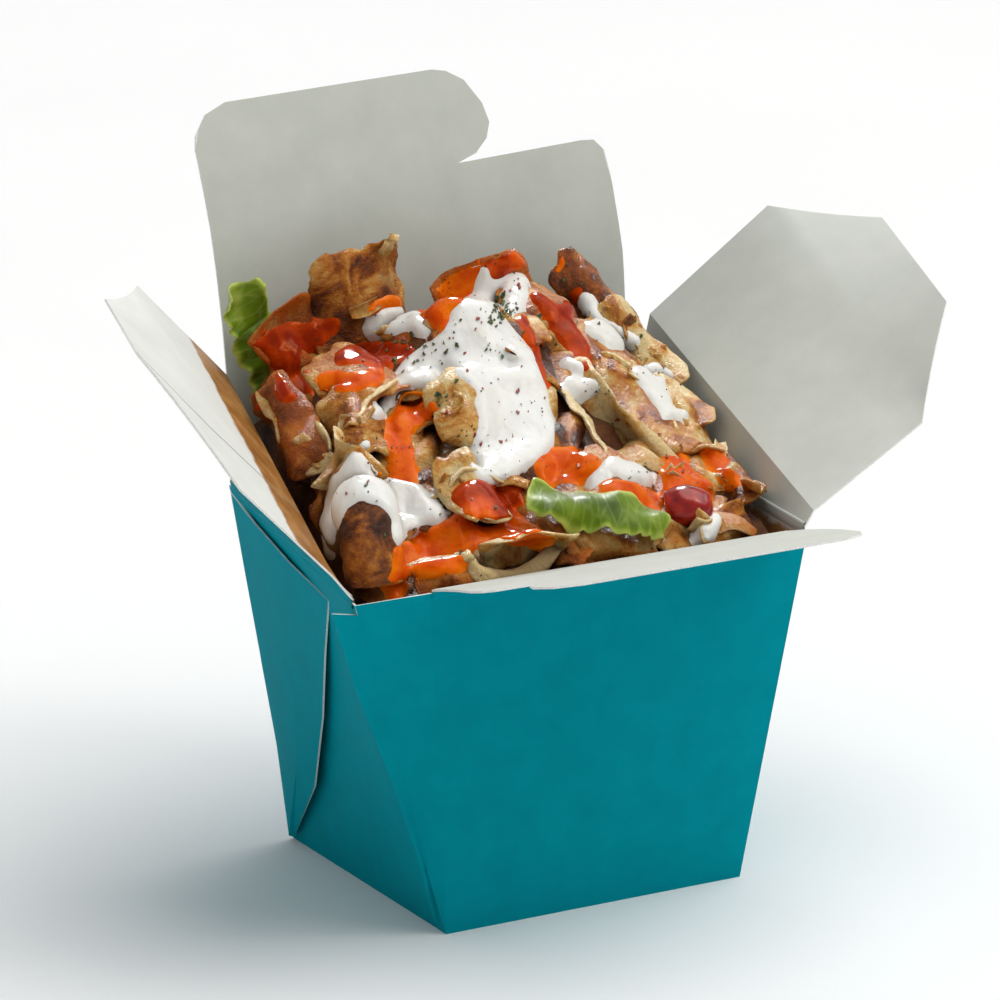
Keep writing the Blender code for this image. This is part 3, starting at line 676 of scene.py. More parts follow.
def spline(points, t):
    """A smooth curve through the points, t from 0 to 1."""
    n = len(points) - 1
    k = min(int(t * n), n - 1)
    f = t * n - k
    p = [Vector(points[min(max(k + j, 0), n)]) for j in (-1, 0, 1, 2)]
    return 0.5 * ((2 * p[1]) + (p[2] - p[0]) * f
                  + (2 * p[0] - 5 * p[1] + 4 * p[2] - p[3]) * f * f
                  + (3 * p[1] - p[0] - 3 * p[2] + p[3]) * f ** 3)


def heading(points, t):
    """The way the curve goes there."""
    return spline(points, min(1, t + 0.02)) - spline(points, max(0, t - 0.02))


class Pile:
    """Slices gathered into one mesh, with what each point needs for its looks."""

    def __init__(self):
        self.verts, self.faces = [], []
        self.tone, self.edge, self.stain, self.grain = [], [], [], []

    def slice(self, path, across, width, cup, wave, tone=0.4, stain=0.0, thick=1.6,
              ragged=1.0, seed=0, waves=2.0, rim=0.3, frill=0.0):
        """Add one wavy slice with a torn outline."""
        across = Vector(across).normalized()
        length = sum((Vector(path[k + 1]) - Vector(path[k])).length
                     for k in range(len(path) - 1))
        rows, cols = max(14, int(length / GRID)), max(10, int(width / GRID))
        shift = Vector((seed * 7.31, seed * 3.17, seed * 5.77))

        def rough(x, y, layer):
            return noise.noise(Vector((x, y, layer)) + shift)

        top, low, marks = [], [], []
        for i in range(rows + 1):
            t = i / rows
            mid, ahead = spline(path, t), heading(path, t)
            unit = ahead.normalized()
            side = (across - unit * across.dot(unit)).normalized()
            up = side.cross(ahead).normalized()
            if up.z < 0 and abs(up.z) > 0.3:
                up = -up
            u, end = t * length, min(t, 1 - t) * length
            narrow = NARROW_END + (1 - NARROW_END) * min(1.0, end / END_TAPER) ** 0.5
            swell = 0.6 + rough(u / 3.0, 0, 17)
            beat = 4.5 * rough(u / 4.0, 0, 13)
            for j in range(cols + 1):
                s = 2 * j / cols - 1
                flank = 1 if s > 0 else -1
                torn = 0.14 * rough(u / 5.0, 9 * flank, 0) + 0.05 * rough(u / 1.5, 5 * flank, 0)
                reach = s * width / 2 * narrow * (1 + ragged * torn * abs(s))
                push = ragged * 1.8 * rough(reach / 3.4, 9 * t, 3)
                push *= max(0.0, 1 - end / 6.0) * (1 if t > 0.5 else -1)
                lift = -cup * s * s + wave * math.sin(waves * math.pi * t + s * 1.3) * s
                lift += 0.48 * ragged * s * s * math.sin(u / 1.9 + seed + 2 * s)
                for high, cell, layer in UNEVEN:
                    lift += high * rough(u / cell, reach / cell, layer)
                lift += frill * swell * max(0.0, s) ** 1.5 * math.sin(u / 0.85 + beat)
                border = min(1 - abs(s), end / (width / 2))
                body = thick * (0.3 + 0.7 * min(1.0, border / THIN_BORDER) ** 0.6)
                at = mid + side * reach + unit * push + up * lift
                top.append((at + up * body / 2) * MM)
                low.append((at - up * body / 2) * MM)
                marks.append((max(0.0, 1 - border / PALE_BORDER), u, reach))
        self.close(top, low, rows, cols + 1)
        for near, u, v in marks * 2:
            self.edge.append(near * rim)
            self.tone.append(tone)
            self.stain.append(stain)
            self.grain.append((u * MM + seed * 0.05, v * MM, 0))

    def close(self, top, low, rows, wide):
        """Add the faces of a slice's two sides and of the border between them."""
        base, under = len(self.verts), len(top)
        self.verts += top + low
        for i in range(rows):
            for j in range(wide - 1):
                a = base + i * wide + j
                b, c, d = a + 1, a + wide, a + wide + 1
                self.faces.append((a, b, d, c))
                self.faces.append((a + under, c + under, d + under, b + under))
        last = wide - 1
        loop = list(range(wide))
        loop += [i * wide + last for i in range(1, rows + 1)]
        loop += [rows * wide + j for j in range(last - 1, -1, -1)]
        loop += [i * wide for i in range(rows - 1, 0, -1)]
        for a, b in zip(loop, loop[1:] + loop[:1]):
            self.faces.append((base + a, base + a + under, base + b + under, base + b))

    def make(self, name, material, slot="meat"):
        """Make the slices one piece of the scene, with their looks on its points."""
        obj = piece(name, self.verts, self.faces, [material], "box", slot)
        face_outwards(obj)
        paint_points(obj, tone=self.tone, edge=self.edge, stain=self.stain,
                     grain=self.grain)
        return obj


# Each slice: path, direction across, width, cupping, waviness, tone, chilli stain
SLICES = [
    ([(-20, 39, 122), (-20, 41, 136), (-21, 43, 148)], (1, 0, 0), 26, 1.5, 2.5, 0.55, 0.3),
    ([(35, 41, 138), (43, 37, 131), (51, 31, 119)], (0.4, 0.5, 0.9), 13, 2, 2, 0.7, 0.4),
    ([(42, 33, 126), (50, 26, 118), (55, 18, 108)], (0.6, 0.3, 0.6), 15, 2, 3, 0.12, 0.1),
    ([(30, 24, 127), (35, 8, 116), (37, -13, 102)], (1, 0.2, -0.1), 26, 3, 1, 0.38, 0.3),
    ([(19, 9, 121), (24, -4, 112), (31, -19, 100)], (0.5, -0.5, 0.8), 9, 0, 2.5, 0.1, 0.1),
    ([(44, 10, 112), (50, 2, 106), (49, -8, 99)], (0.7, 0.5, 0.2), 15, 3, 2.5, 0.2, 0.2),
    ([(33, -33, 91), (43, -20, 94), (51, -3, 96)], (-0.3, 0.4, 0.9), 15, 2, 2, 0.22, 0.1),
    ([(-52, -6, 114), (-57, -16, 113), (-51, -24, 107)], (0.2, 0.3, 1), 13, 1, 2, 0.12, 0.1),
    ([(-54, 26, 122), (-56, 12, 116), (-55, 0, 108)], (0.5, 0.1, 1), 13, 2, 2, 0.6, 0.6),
    ([(-43, 10, 124), (-42, 0, 119), (-43, -8, 112)], (1, 0.2, 0.3), 15, 4, 1, 0.5, 0.0),
    ([(-19, 2, 126), (-16, -6, 121), (-18, -14, 112)], (1, 0.3, 0.2), 17, 4, 1, 0.15, 0.0),
    ([(-29, -18, 111), (-27, -27, 106), (-27, -36, 99)], (1, 0.2, 0.1), 13, 1, 2.5, 0.1, 0.0),
    ([(-34, -43, 94), (-22, -45, 97), (-10, -43, 94)], (0, -0.6, 0.8), 11, 2, 1.5, 0.12, 0.2),
    ([(2, -35, 102), (8, -38, 97), (17, -41, 92)], (0.7, 0.7, 0.4), 16, 3, 1, 0.4, 0.6),
    ([(20, -22, 101), (30, -27, 97), (37, -34, 92)], (0.4, 0.8, 0.4), 15, 2, 2, 0.38, 0.4),
    ([(0, 36, 130), (12, 38, 135), (26, 39, 134)], (0, 0.3, 1), 16, 2, 3, 0.4, 0.9),
    ([(-48, 36, 124), (-40, 41, 130), (-32, 43, 127)], (0.2, 0.4, 1), 17, 2, 3, 0.5, 0.9),
    ([(39, 38, 115), (46, 30, 110), (49, 18, 104)], (0.3, 0.6, 0.8), 15, 2, 2, 0.5, 0.1),
    ([(6, -22, 108), (12, -30, 104), (8, -38, 98)], (1, 0.3, 0.2), 18, 3, 2, 0.42, 0.6),
    ([(-40, 24, 128), (-36, 14, 127), (-32, 4, 122)], (1, 0.3, 0.2), 20, 3, 2, 0.45, 0.5),
    ([(14, 34, 134), (24, 28, 133), (32, 34, 131)], (0.2, 1, 0.3), 18, 3, 2, 0.5, 0.5),
    ([(-52, -43, 91), (-44, -45, 92), (-36, -45, 92)], (0, 0.4, 0.9), 9, 1, 1.5, 0.4, 0.5),
    ([(-8, -44, 92), (3, -45, 93), (13, -45, 91)], (0, 0.4, 0.9), 9, 1, 1.5, 0.38, 0.5),
    ([(25, -44, 90), (34, -43, 92), (42, -39, 92)], (0, 0.6, 0.8), 10, 1, 2, 0.5, 0.1),
    ([(45, -34, 93), (47, -24, 96), (46, -12, 99)], (0.8, 0.2, 0.5), 12, 2, 2.5, 0.4, 0.1),
    ([(24, -10, 105), (33, -7, 105), (41, -10, 102)], (0.2, 1, 0.3), 13, 2, 2.5, 0.5, 0.2),
    ([(46, 16, 110), (51, 10, 107), (52, 0, 102)], (0.6, 0.3, 0.7), 12, 2, 2.5, 0.25, 0.1),
    ([(-58, -8, 104), (-60, -18, 101), (-58, -28, 97)], (0.5, 0, 1), 11, 1, 1.5, 0.6, 0.2),
    ([(22, 42, 121), (34, 42, 119), (43, 40, 114)], (0.1, 0.6, 0.8), 12, 2, 2, 0.5, 0.1),
    ([(-30, 40, 122), (-40, 36, 120), (-48, 30, 115)], (0.1, 0.8, 0.6), 14, 2, 2, 0.5, 0.2),
    ([(-38.4, -43, 96.2), (-37.5, -46, 92.2), (-33, -47.4, 89.9), (-27, -47.7, 89),
      (-20.8, -47, 90.3), (-14.2, -44, 93.7)], (0, 0.45, 0.9), 4.6, 0.4, 0.3, -0.3, 0.1),
]
# Pale edges, whose paleness is partly a painted highlight on lit rims.
# Each one: line seen in the photo, width, tone, chilli stain, lean
RIMS = [
    ([(533, 326), (541, 361), (564, 396), (595, 435), (622, 470)], 4.6, -0.2, 0.0, 0.3),
    ([(274, 477), (292, 481), (308, 477), (322, 456), (320, 423)], 4.8, -0.1, 0.0, 0.2),
    ([(258, 392), (274, 415), (281, 442), (276, 468)], 4.0, 0.1, 0.3, 0.2),
    ([(600, 352), (632, 372), (660, 396), (676, 430)], 3.2, 0.08, 0.0, 0.3),
    ([(351, 419), (366, 401), (384, 388), (396, 377)], 4.0, 0.1, 0.1, 0.2),
    ([(640, 306), (665, 322), (682, 350), (678, 384)], 4.6, 0.05, 0.0, 0.2),
    ([(684, 400), (711, 411), (733, 435), (740, 458)], 4.4, 0.08, 0.0, 0.2),
    ([(708, 497), (738, 478), (768, 468)], 5.0, 0.1, 0.0, 0.3),
    ([(430, 500), (452, 478), (470, 470), (500, 478)], 3.6, 0.1, 0.2, 0.2),
    ([(560, 262), (585, 262), (612, 246)], 4.0, 0.15, 0.3, 0.2),
]
# Frilled crumbs: middle and radius of a spot in the photo, and how many
CRUMB_SPOTS = [(655, 345, 40, 22), (725, 425, 38, 18), (768, 478, 28, 10), (600, 280, 40, 4),
               (330, 430, 45, 3), (440, 470, 40, 2), (560, 540, 80, 6), (430, 320, 90, 4),
               (690, 500, 50, 8)]
ROLL = [(-55, -25, 108), (-57.5, -31, 105), (-59, -36.5, 98), (-59, -38.5, 90)]
ROLL_RADIUS, ROLL_TIP, ROLL_TONE = 7.1, 0.22, 0.62
ROLL_STEPS, ROLL_AROUND = 46, 40
# Middle and radius of the golden slice in the photo, which stays clear of scraps
GOLDEN_SLICE = (600, 405, 46)


def meat_roll():
    """The folded roll in the front left corner, rough and dull brown."""
    verts, grain, faces = [], [], []
    for i in range(ROLL_STEPS + 1):
        t = i / ROLL_STEPS
        mid, ahead = spline(ROLL, t), heading(ROLL, t)
        side = ahead.cross(Vector((0, 0, 1))).normalized()
        up = side.cross(ahead).normalized()
        size = math.sqrt(max(0.0, 1 - max(0.0, 1 - t / ROLL_TIP) ** 2.2))
        for k in range(ROLL_AROUND):
            q = 2 * math.pi * k / ROLL_AROUND
            rough = 0.35 * noise.noise(Vector((math.cos(q) * 3, math.sin(q) * 3, t * 14)))
            out = (ROLL_RADIUS + rough) * size
            verts.append((mid + side * math.cos(q) * out + up * math.sin(q) * out) * MM)
            grain.append((t * 0.028, q * 0.007, 0.3))
    for i in range(ROLL_STEPS):
        for k in range(ROLL_AROUND):
            a, b = i * ROLL_AROUND + k, i * ROLL_AROUND + (k + 1) % ROLL_AROUND
            faces.append((a, b, b + ROLL_AROUND, a + ROLL_AROUND))
    faces.append(tuple(range(ROLL_AROUND - 1, -1, -1)))
    faces.append(tuple(range(ROLL_STEPS * ROLL_AROUND, (ROLL_STEPS + 1) * ROLL_AROUND)))
    return verts, faces, grain


def scatter_scraps(pile, count, seed):
    """Torn bits over the bed between the large slices, but not on the golden one."""
    pick = random.Random(seed)
    placed = 0
    while placed < count:
        x, y = pick.uniform(-64, 58), pick.uniform(-48, 48)
        turn, twist = pick.uniform(0, 2 * math.pi), pick.uniform(-0.5, 0.5)
        length, width = pick.uniform(12, 21), pick.uniform(8, 13)
        rise = pick.uniform(1.0, 3.4)
        tone, stain = pick.uniform(0.2, 0.75), pick.choice((0, 0, 0.3, 0.7))
        step = Vector((math.cos(turn), math.sin(turn))) * length / 2
        if wall_gap(x, y, dome(x, y)) < 5.5:
            continue
        path = []
        for f, extra in ((-1, 0), (0, rise), (1, 0)):
            a, b = x + step.x * f, y + step.y * f
            path.append((a, b, dome(a, b) + extra + 0.6))
        if min(wall_gap(*p) for p in (path[0], path[2])) < 4.5:
            continue
        px, py = seen_at([Vector(path[1]) * MM])
        if math.hypot(px[0] - GOLDEN_SLICE[0], py[0] - GOLDEN_SLICE[1]) < GOLDEN_SLICE[2]:
            continue
        across = (-math.sin(turn), math.cos(turn), twist)
        pile.slice(path, across, width, pick.uniform(1.0, 3.5), pick.uniform(0.5, 2),
                   tone, stain, thick=1.4, seed=100 + placed, ragged=1.1)
        placed += 1


def dropped(pick, surface, spots):
    """Random looks into round spots of the photo, and the food that each one hits."""
    for px, py, spread, count in spots:
        for number in range(count):
            a, r = pick.uniform(0, 2 * math.pi), spread * math.sqrt(pick.random())
            aim = ray_through(px + r * math.cos(a), py + r * math.sin(a))
            hit, normal, _, _ = surface.ray_cast(EYE, aim)
            yield number, hit, normal


def scatter_crumbs(pile, surface, spots, seed):
    """Short curled shreds on the food, within round spots seen in the photo."""
    pick = random.Random(seed)
    for number, hit, normal in dropped(pick, surface, spots):
        length, width = pick.uniform(5, 10), pick.uniform(3, 5.5)
        tone, cup, wave = pick.uniform(0.05, 0.5), pick.uniform(-2, 2), pick.uniform(0.3, 0.9)
        spin = Vector([pick.uniform(-1, 1) for _ in range(3)])
        if hit is None or wall_gap(*(hit / MM)) < 4.0:
            continue
        along = normal.cross(spin).normalized()
        centre = hit / MM + normal * 0.6
        path = [centre - along * length / 2 - normal * 0.8, centre + normal * 0.7,
                centre + along * length / 2 - normal * 0.6]
        across = normal.cross(along) + normal * pick.uniform(-0.7, 0.7)
        pile.slice(path, across, width, cup, wave, tone, 0.2, thick=1.1,
                   seed=seed * 100 + number, ragged=0.35, waves=1.5, rim=0.7)


def lay_rims(pile, surface):
    """Thin pale edges of curled slices, standing on the food along seen lines.
    Their paleness is partly a painted highlight on lit rims.
    """
    for number, (line, width, tone, stain, lean) in enumerate(RIMS):
        hits = [surface.ray_cast(EYE, ray_through(*at)) for at in line]
        hits = [(hit / MM, normal) for hit, normal, _, _ in hits if hit is not None]
        if len(hits) < 3:
            continue
        path = [hit + normal * (width * 0.28) for hit, normal in hits]
        across = sum((normal for _, normal in hits), Vector()).normalized()
        across += BACKWARD.cross(path[-1] - path[0]).normalized() * lean
        pile.slice(path, across, width, 0.6, 0.7, tone, stain, thick=1.3,
                   seed=900 + number, ragged=0.6, waves=2.5, rim=0.8)


# Nooks: how far up each point looks for food, from where, and which ways
NOOK_REACH, NOOK_START = 0.011, 0.0024       # metres
NOOK_WAYS = [(0, 0, 1), (-0.9, -0.6, 0.7), (0.9, -0.5, 0.7), (0.2, 0.9, 0.7),
             (-0.3, -0.9, 0.4)]


def darken_nooks(objects):
    """Store how much of the sky each point has lost to food close above it, which the meat's
    material paints as shade.
    """
    food = BVHTree.FromPolygons(*joined(obj.data for obj in objects))
    ways = [Vector(way).normalized() for way in NOOK_WAYS]
    for obj in objects:
        lost = np.zeros(len(obj.data.vertices))
        for number, vertex in enumerate(obj.data.vertices):
            for way in ways:
                if food.ray_cast(vertex.co + way * NOOK_START, way, NOOK_REACH)[0] is not None:
                    lost[number] += 1 / len(ways)
        edges = read(obj.data.edges, "vertices", 2, np.int32)
        paint_points(obj, nook=edge_mean(lost, edges, 1))


# Sauces: poured strokes, each a run of (x, y, radius) in the photograph's
# pixels, laid on whatever food lies there
YOGHURT_POURS = [
    [(483, 268, 5), (484, 300, 10), (475, 322, 24), (478, 345, 36), (497, 370, 37),
     (512, 400, 35), (516, 430, 38), (496, 455, 28)],
    [(465, 340, 14), (438, 352, 12), (414, 372, 14), (430, 380, 8)],
    [(500, 290, 9), (516, 288, 12), (514, 304, 10)],
    [(371, 331, 7), (386, 321, 13), (408, 317, 12), (420, 328, 7)],
    [(365, 444, 4), (357, 464, 11), (349, 484, 17), (340, 500, 13), (330, 528, 7),
     (331, 554, 4)],
    [(352, 486, 14), (385, 492, 14), (410, 506, 21), (432, 516, 9)],
    [(408, 520, 15), (398, 538, 7)],
    [(586, 300, 7), (594, 326, 9), (612, 336, 10), (634, 342, 6)],
    [(570, 382, 5), (582, 389, 7), (593, 384, 5)],
    [(640, 372, 6), (654, 387, 10), (664, 405, 7)],
    [(655, 368, 4), (667, 376, 4)],
    [(614, 466, 8), (594, 482, 5)],
    [(628, 472, 9), (646, 478, 7)],
    [(666, 414, 5), (684, 415, 4)],
    [(672, 500, 6)],
    [(714, 520, 6), (706, 534, 8), (697, 541, 4)],
    [(389, 398, 5), (378, 412, 6)],
    [(566, 364, 5), (580, 368, 4)],
]
YOGHURT_HOLES = [[(456, 398, 18), (456, 426, 18)], [(364, 520, 15), (362, 560, 24)]]
CHILLI_BRIGHT = [
    [(326, 382, 8), (350, 383, 7), (378, 376, 5)],
    [(426, 412, 9), (404, 418, 11), (398, 440, 11), (402, 462, 11), (401, 480, 14)],
    [(486, 270, 7), (506, 258, 9), (530, 254, 9), (552, 262, 10)],
    [(438, 301, 6), (456, 290, 12), (466, 276, 10), (460, 298, 10)],
    [(376, 312, 5), (390, 302, 5), (416, 308, 5), (436, 316, 8), (446, 326, 7)],
    [(478, 505, 12), (484, 522, 16), (515, 530, 12), (545, 540, 5)],
    [(474, 530, 17), (440, 548, 21), (412, 560, 18)],
    [(430, 568, 9), (455, 566, 7)],
    [(402, 574, 11), (394, 592, 7)],
    [(552, 466, 16), (574, 466, 16), (590, 466, 9)],
    [(606, 488, 6), (630, 494, 11), (650, 508, 11), (652, 518, 7)],
    [(676, 464, 10), (680, 484, 16), (700, 490, 10)],
    [(712, 456, 6), (724, 468, 6), (734, 482, 4)],
]
# The chilli sauce where it pools and darkens
CHILLI_DEEP = [
    [(254, 366, 12), (262, 352, 15), (285, 342, 17), (312, 336, 15), (332, 326, 9)],
    [(262, 372, 10), (290, 364, 12)],
    [(342, 358, 8), (360, 352, 11), (385, 354, 13), (408, 354, 9)],
    [(286, 392, 12), (300, 386, 10)],
    [(246, 404, 6), (256, 410, 5)],
    [(534, 296, 5), (552, 312, 9), (566, 330, 12), (581, 350, 10), (587, 368, 6)],
    [(578, 292, 6), (568, 308, 8)],
    [(522, 318, 5), (532, 345, 5), (542, 376, 4), (548, 390, 3)],
    [(488, 256, 8), (504, 256, 12), (496, 274, 10)],
    [(462, 496, 11), (480, 490, 10), (515, 498, 8)],
    [(498, 512, 13)],
]
# Millimetres: how far a sauce's outline wanders, how near it the skin is worked
# on, and how much of the skin is kept past it, sunk in the food
RAGGED, NEAR, SKIRT = 0.45, 3.0, 1.6
SKIRT_SLOPE, SKIRT_END, BEDDED = 0.8, 1.5, 0.15
# Metres: the skin's grain, its thickness, and how far off it a look at the eye starts
SKIN_VOXEL, SAUCE_BODY, LOOK_START = 0.0010, 0.0007, 0.0016


def inside_strokes(strokes, x, y):
    """How far inside the strokes each seen point is, in pixels."""
    best = np.full(len(x), -1e6)
    for stroke in strokes:
        for k in range(max(1, len(stroke) - 1)):
            ax, ay, ar = stroke[k]
            bx, by, br = stroke[min(k + 1, len(stroke) - 1)]
            dx, dy = bx - ax, by - ay
            t = np.clip(((x - ax) * dx + (y - ay) * dy) / max(1e-6, dx * dx + dy * dy), 0, 1)
            gap = np.hypot(x - ax - dx * t, y - ay - dy * t)
            best = np.maximum(best, ar + (br - ar) * t - gap)
    return best


def skin_of(objects, relax):
    """One smooth skin over several meshes."""
    verts, faces = joined(obj.data for obj in objects)
    both = piece("skin_work", verts, faces, [], None, None)
    remesh = both.modifiers.new("skin", "REMESH")
    remesh.mode, remesh.voxel_size = "VOXEL", SKIN_VOXEL
    calm = both.modifiers.new("calm", "SMOOTH")
    calm.factor, calm.iterations = 0.5, relax
    graph = bpy.context.evaluated_depsgraph_get()
    mesh = bpy.data.meshes.new_from_object(both.evaluated_get(graph))
    bpy.data.objects.remove(both, do_unlink=True)
    return mesh


def poured(name, skin, blocked, strokes, holes, deep, material, spread, depth_mm, rim_mm):
    """A sauce: the skin's part under the strokes, raised by the sauce's depth."""
    points = read(skin.vertices, "co", 3).astype(float)
    normals = read(skin.vertices, "normal", 3).astype(float)
    edges = read(skin.edges, "vertices", 2, np.int32)
    x, y = seen_at(points)
    inside = np.maximum(inside_strokes(strokes, x, y) + spread,
                        inside_strokes(deep, x, y) + 1.0)
    if holes:
        inside = np.minimum(inside, -inside_strokes(holes, x, y))
    inside /= PX_PER_MM
    seen = np.zeros(len(points))
    for k in np.where(inside > -NEAR)[0]:
        at = Vector(points[k])
        inside[k] += RAGGED * (noise.noise(at * 220) + 0.5 * noise.noise(at * 560))
        start = at + Vector(normals[k]) * LOOK_START
        if normals[k] @ np.array(EYE - start) > 0:
            hit = blocked.ray_cast(start, (EYE - start).normalized())
            seen[k] = 1.0 if hit[0] is None else 0.0
    # What the eye can't see gets no sauce, so none floats behind a slice
    seen = edge_mean(seen, edges, 3)
    inside = np.minimum(inside, (seen - 0.35) * 6)
    full = np.clip(inside / rim_mm, 0, 1)
    depth = depth_mm * np.sqrt(1 - (1 - full) ** 2)
    sunk = np.clip(-inside, 0, SKIRT_END) * SKIRT_SLOPE
    heights = edge_mean(depth - BEDDED - sunk, edges, 2)
    moved = points + normals * (heights * MM)[:, None]
    keep = inside > -SKIRT
    faces = [list(p.vertices) for p in skin.polygons if all(keep[k] for k in p.vertices)]
    used = sorted({k for face in faces for k in face})
    number = {k: n for n, k in enumerate(used)}
    faces = [[number[k] for k in face] for face in faces]
    obj = piece(name, moved[used], faces, [material], "box", "meat")
    if deep:
        weight = inside_strokes(deep, x, y) - inside_strokes(strokes, x, y)
        shade = 0.25 + 0.25 * depth / depth_mm + 0.3 * smooth_step(-6, 6, weight)
        paint_points(obj, depth=edge_mean(shade, edges, 3)[used])
    thick = obj.modifiers.new("body", "SOLIDIFY")
    thick.thickness, thick.offset = SAUCE_BODY, -1
    calm = obj.modifiers.new("calm", "SMOOTH")
    calm.factor, calm.iterations = 0.5, 3
    return obj


# Flakes
def scatter_flakes(name, material, surface, spots, sizes, seed, thin=0.25):
    """Small torn flakes pressed on the food, at random within round spots."""
    pick = random.Random(seed)
    verts, faces = [], []
    for _, hit, normal in dropped(pick, surface, spots):
        if hit is not None and wall_gap(*(hit / MM)) >= 1.0:
            flake(verts, faces, hit, normal, pick, sizes, thin)
    piece(name, verts, faces, [material], "box", "meat", smooth=False)


def flake(verts, faces, hit, normal, pick, sizes, thin):
    """One five-sided chip, tilted a little off the surface."""
    tilt = Vector([pick.uniform(-0.5, 0.5) for _ in range(3)])
    up = (normal + tilt * 0.7).normalized()
    side = up.orthogonal().normalized()
    other = up.cross(side)
    size = mix(sizes[0], sizes[1], pick.random() ** 2) * MM
    long = pick.uniform(0.3, 0.9)
    centre = hit + normal * size * 0.18
    base, turn = len(verts), pick.uniform(0, 6.3)
    for level in (0.5, -0.5):
        for k in range(5):
            q = turn + 2 * math.pi * (k + 0.45 * math.sin(turn * 3 + 2 * k)) / 5
            flat = side * math.cos(q) * size / 2 + other * math.sin(q) * size / 2 * long
            verts.append(centre + flat + up * (level * thin * size))
    faces.append([base + k for k in range(5)])
    faces.append([base + 9 - k for k in range(5)])
    for k in range(5):
        n = (k + 1) % 5
        faces.append([base + k, base + 5 + k, base + 5 + n, base + n])


# Build: card
print_side = printed_board()
board_in = bare_board("bleached_board_inside", soak=((0, 0, -1), -0.0885))
# Painted shade: the back, front and right flaps' insides, the carton's folds outside the walls
# and the crease strips take a greyer copy of the inside board, standing for the shade they lie
# in; the carton's inner walls and the left flap keep the brighter board.
shaded_flap_board = bare_board("bleached_board_painted_shade", clean="#CBCEC6", shade="#C1C5BC")
# The left flap's board: soaked brown near the food, with painted shade along its score line.
left_in = bare_board("bleached_board_scored",
                     soak=plane_across("left_flap", (222, 400), (322, 590)),
                     score=plane_across("left_flap", (116, 332), (272, 490)))
edge_cut = cut_board_edge()
card_piece("carton", "box", [print_side, board_in, edge_cut, shaded_flap_board])
card_piece("left_flap", "left_lid", [print_side, left_in, edge_cut])
for side in ("back", "front", "right"):
    card_piece(side + "_flap", side + "_lid", [print_side, shaded_flap_board, edge_cut])
for side in CREASES:
    crease(side, [print_side, shaded_flap_board])

# Build: meat
sliced = roast_meat("sliced_roast_meat", MEAT_RAMP, 0.2)
# The bed under the slices is painted darker, partly as shade in the gaps between them.
under = roast_meat("chopped_meat_in_painted_shade", BED_SHADED_RAMP, 0.4)
points, polygons = bed_mesh(floor=2.0)
bed = piece("meat_bed", points, polygons, [under], "box", "meat")
paint_points(bed, tone=[0.55] * len(points), edge=[0.0] * len(points),
             stain=[0.25] * len(points), grain=[tuple(p) for p in points])
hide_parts("food_heap")

large = Pile()
for number, (path, across, width, cup, wave, tone, stain) in enumerate(SLICES):
    large.slice(path, across, width, cup, wave, tone, stain, seed=number)
slices = large.make("meat_slices", sliced)
small = Pile()
scatter_scraps(small, count=90, seed=5)
first = len(large.verts)
laid = BVHTree.FromPolygons(large.verts + small.verts, large.faces + [
    tuple(first + k for k in face) for face in small.faces])
scatter_crumbs(small, laid, CRUMB_SPOTS, seed=7)
lay_rims(small, laid)
scraps = small.make("meat_scraps", sliced)
points, polygons, grains = meat_roll()
roll = piece("meat_roll", points, polygons, [sliced], "box", "meat")
none = [0.0] * len(points)
paint_points(roll, tone=[ROLL_TONE] * len(points), edge=none, stain=none, grain=grains)
darken_nooks([bed, slices, scraps, roll])

# Build: sauces
low_bed = piece("low_bed_work", *bed_mesh(floor=76.0), [], None, None)
food = [low_bed, slices, scraps, roll]
skin, calm_skin = skin_of(food, relax=8), skin_of(food, relax=45)
bpy.data.objects.remove(low_bed, do_unlink=True)
blocked = BVHTree.FromPolygons(*joined([skin]))
yoghurt = poured("yoghurt_sauce", calm_skin, blocked, YOGHURT_POURS, YOGHURT_HOLES, [],
                 yoghurt_sauce(), spread=2.0, depth_mm=1.6, rim_mm=1.8)
chilli = poured("chilli_sauce", skin, blocked, CHILLI_BRIGHT, [], CHILLI_DEEP,
                chilli_sauce(), spread=4.0, depth_mm=0.8, rim_mm=1.6)

# Build: salad
leaf_green = lettuce_leaf()
for node, path, across, width in (
        ("lettuce_left", [(-41, 33, 109), (-43, 41, 119), (-48, 45, 131), (-52, 46, 141)],
         (-1, -0.3, -0.1), 14),
        ("lettuce_front", [(-16, -36, 105), (-6, -41, 102.5), (6, -44, 99.5), (15, -45.5, 97)],
         (-0.25, -0.8, -0.5), 13)):
    leaf = Pile()
    leaf.slice(path, across, width, 1.5, 1.6, thick=0.7, ragged=1.2, seed=41,
               waves=3.0, rim=1.0, frill=1.5)
    shown = leaf.make(node + "_leaf", leaf_green, slot="lettuce")
    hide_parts(node)
wedge = Pile()
wedge.slice([(20, -38, 97), (25, -40, 97.5), (31, -41, 96)], (0.1, 0.5, 0.9), 10, 1.5, 0.0,
            thick=4.6, ragged=0.3, seed=51)
wedge_shown = wedge.make("tomato_wedge", tomato_flesh(), slot="tomato")
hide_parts("tomato")

# Build: flakes
graph = bpy.context.evaluated_depsgraph_get()
served = BVHTree.FromPolygons(*joined(
    obj.evaluated_get(graph).to_mesh()
    for obj in (bed, slices, scraps, roll, yoghurt, chilli)))
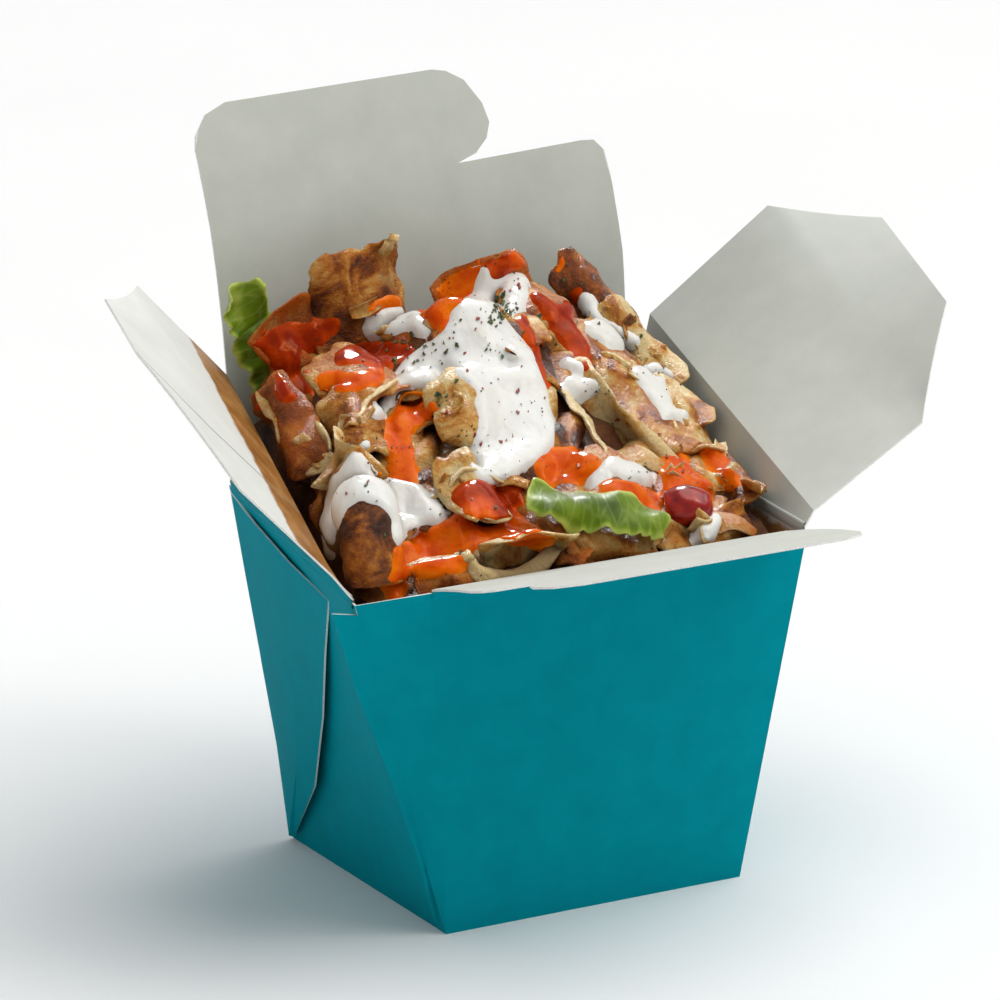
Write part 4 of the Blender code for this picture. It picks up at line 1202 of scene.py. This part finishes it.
# Spots of flakes: middle and radius in the photo, and how many
HERB_SPOTS = [(505, 306, 12, 46), (496, 318, 9, 22), (425, 352, 22, 22), (398, 352, 12, 8),
              (600, 258, 18, 30), (440, 400, 12, 8), (470, 330, 30, 5), (500, 400, 50, 7),
              (395, 510, 40, 4), (640, 320, 30, 14), (560, 300, 50, 14), (450, 560, 90, 8),
              (495, 300, 240, 30)]
FLAKE_SPOTS = [(470, 440, 12, 5), (500, 405, 55, 10), (480, 345, 35, 7), (400, 350, 22, 8),
               (350, 485, 25, 3), (505, 460, 35, 5), (500, 290, 22, 6), (400, 440, 14, 4),
               (560, 480, 150, 20)]
PEPPER_SPOTS = [(500, 400, 60, 26), (380, 500, 60, 12), (500, 300, 60, 36),
                (640, 380, 60, 40), (500, 420, 260, 150), (640, 475, 18, 16)]
scatter_flakes("herb_flakes", dried_flake("dried_herb", "#2F3A1C", "#5E6B3A", 0.7),
               served, HERB_SPOTS, sizes=(0.5, 1.9), seed=11)
scatter_flakes("chilli_flakes", dried_flake("dried_chilli", "#6E1A12", "#A8402A", 0.45),
               served, FLAKE_SPOTS, sizes=(0.5, 1.7), seed=12)
scatter_flakes("pepper_specks", dried_flake("cracked_pepper", "#231B16", "#4B3B2E", 0.6),
               served, PEPPER_SPOTS, sizes=(0.25, 0.7), seed=13, thin=0.6)


# Floor, light and camera
def pale_floor():
    """A plain pale studio floor, matt and all but white."""
    made, tree, shader, place = finish_named("pale_studio_floor")
    faint = add(tree, "ShaderNodeTexNoise", inputs={"Vector": place, "Scale": 6.0})
    tint = add(tree, "ShaderNodeValToRGB", {"stops": [
        (0.3, "#FDFDFD"), (0.7, "#FFFFFF")]}, {"Fac": faint.outputs["Fac"]})
    fill(tree, shader, {
        "Base Color": tint.outputs["Color"], "Roughness": 0.9, "Specular IOR Level": 0.0})
    half = 6.0
    corners = [(-half, -half, 0), (half, -half, 0), (half, half, 0), (-half, half, 0)]
    floor = piece("studio_floor", corners, [(0, 1, 2, 3)], [made], None, None)


def overhead(name, direction, strength):
    """A very soft even light from one direction, the same all over the floor."""
    light = bpy.data.lights.new(name, "SUN")
    light.energy, light.angle = strength, math.radians(65)
    lamp = bpy.data.objects.new(name, light)
    lamp.rotation_euler = Vector(direction).to_track_quat("Z", "Y").to_euler()
    bpy.context.scene.collection.objects.link(lamp)


def softbox(name, place, aim, size, power, tint, glint=False):
    """A soft lamp; one for glints alone shows only in what is glossy."""
    light = bpy.data.lights.new(name, "AREA")
    light.shape, light.size, light.size_y = "RECTANGLE", size[0], size[1]
    light.energy, light.color = power, colour(tint)[:3]
    lamp = bpy.data.objects.new(name, light)
    lamp.location = place
    lamp.rotation_euler = (Vector(aim) - Vector(place)).to_track_quat("-Z", "Y").to_euler()
    lamp.visible_diffuse = not glint
    bpy.context.scene.collection.objects.link(lamp)


SUN_POWER, KEY_POWER, GLINT_POWER, SKY = 1.95, 3.0, 42, 0.38
pale_floor()
overhead("overhead_soft_light", (0.36, -0.1, 0.93), SUN_POWER)
softbox("right_softbox", (0.9, -0.7, 1.1), (0, 0, 0.1), (0.35, 0.5), KEY_POWER, "#FFF9F0")
softbox("back_glint", (0.45, 0.9, 1.0), (0, 0, 0.12), (0.3, 0.2), GLINT_POWER, "#FFFFFF",
        glint=True)
world = bpy.data.worlds.new("studio")
world.use_nodes = True
fill(world.node_tree, world.node_tree.nodes["Background"], {
    "Color": colour("#FFFFFF"), "Strength": SKY})
bpy.context.scene.world = world
bpy.context.scene.view_settings.view_transform = "Standard"
set_camera()
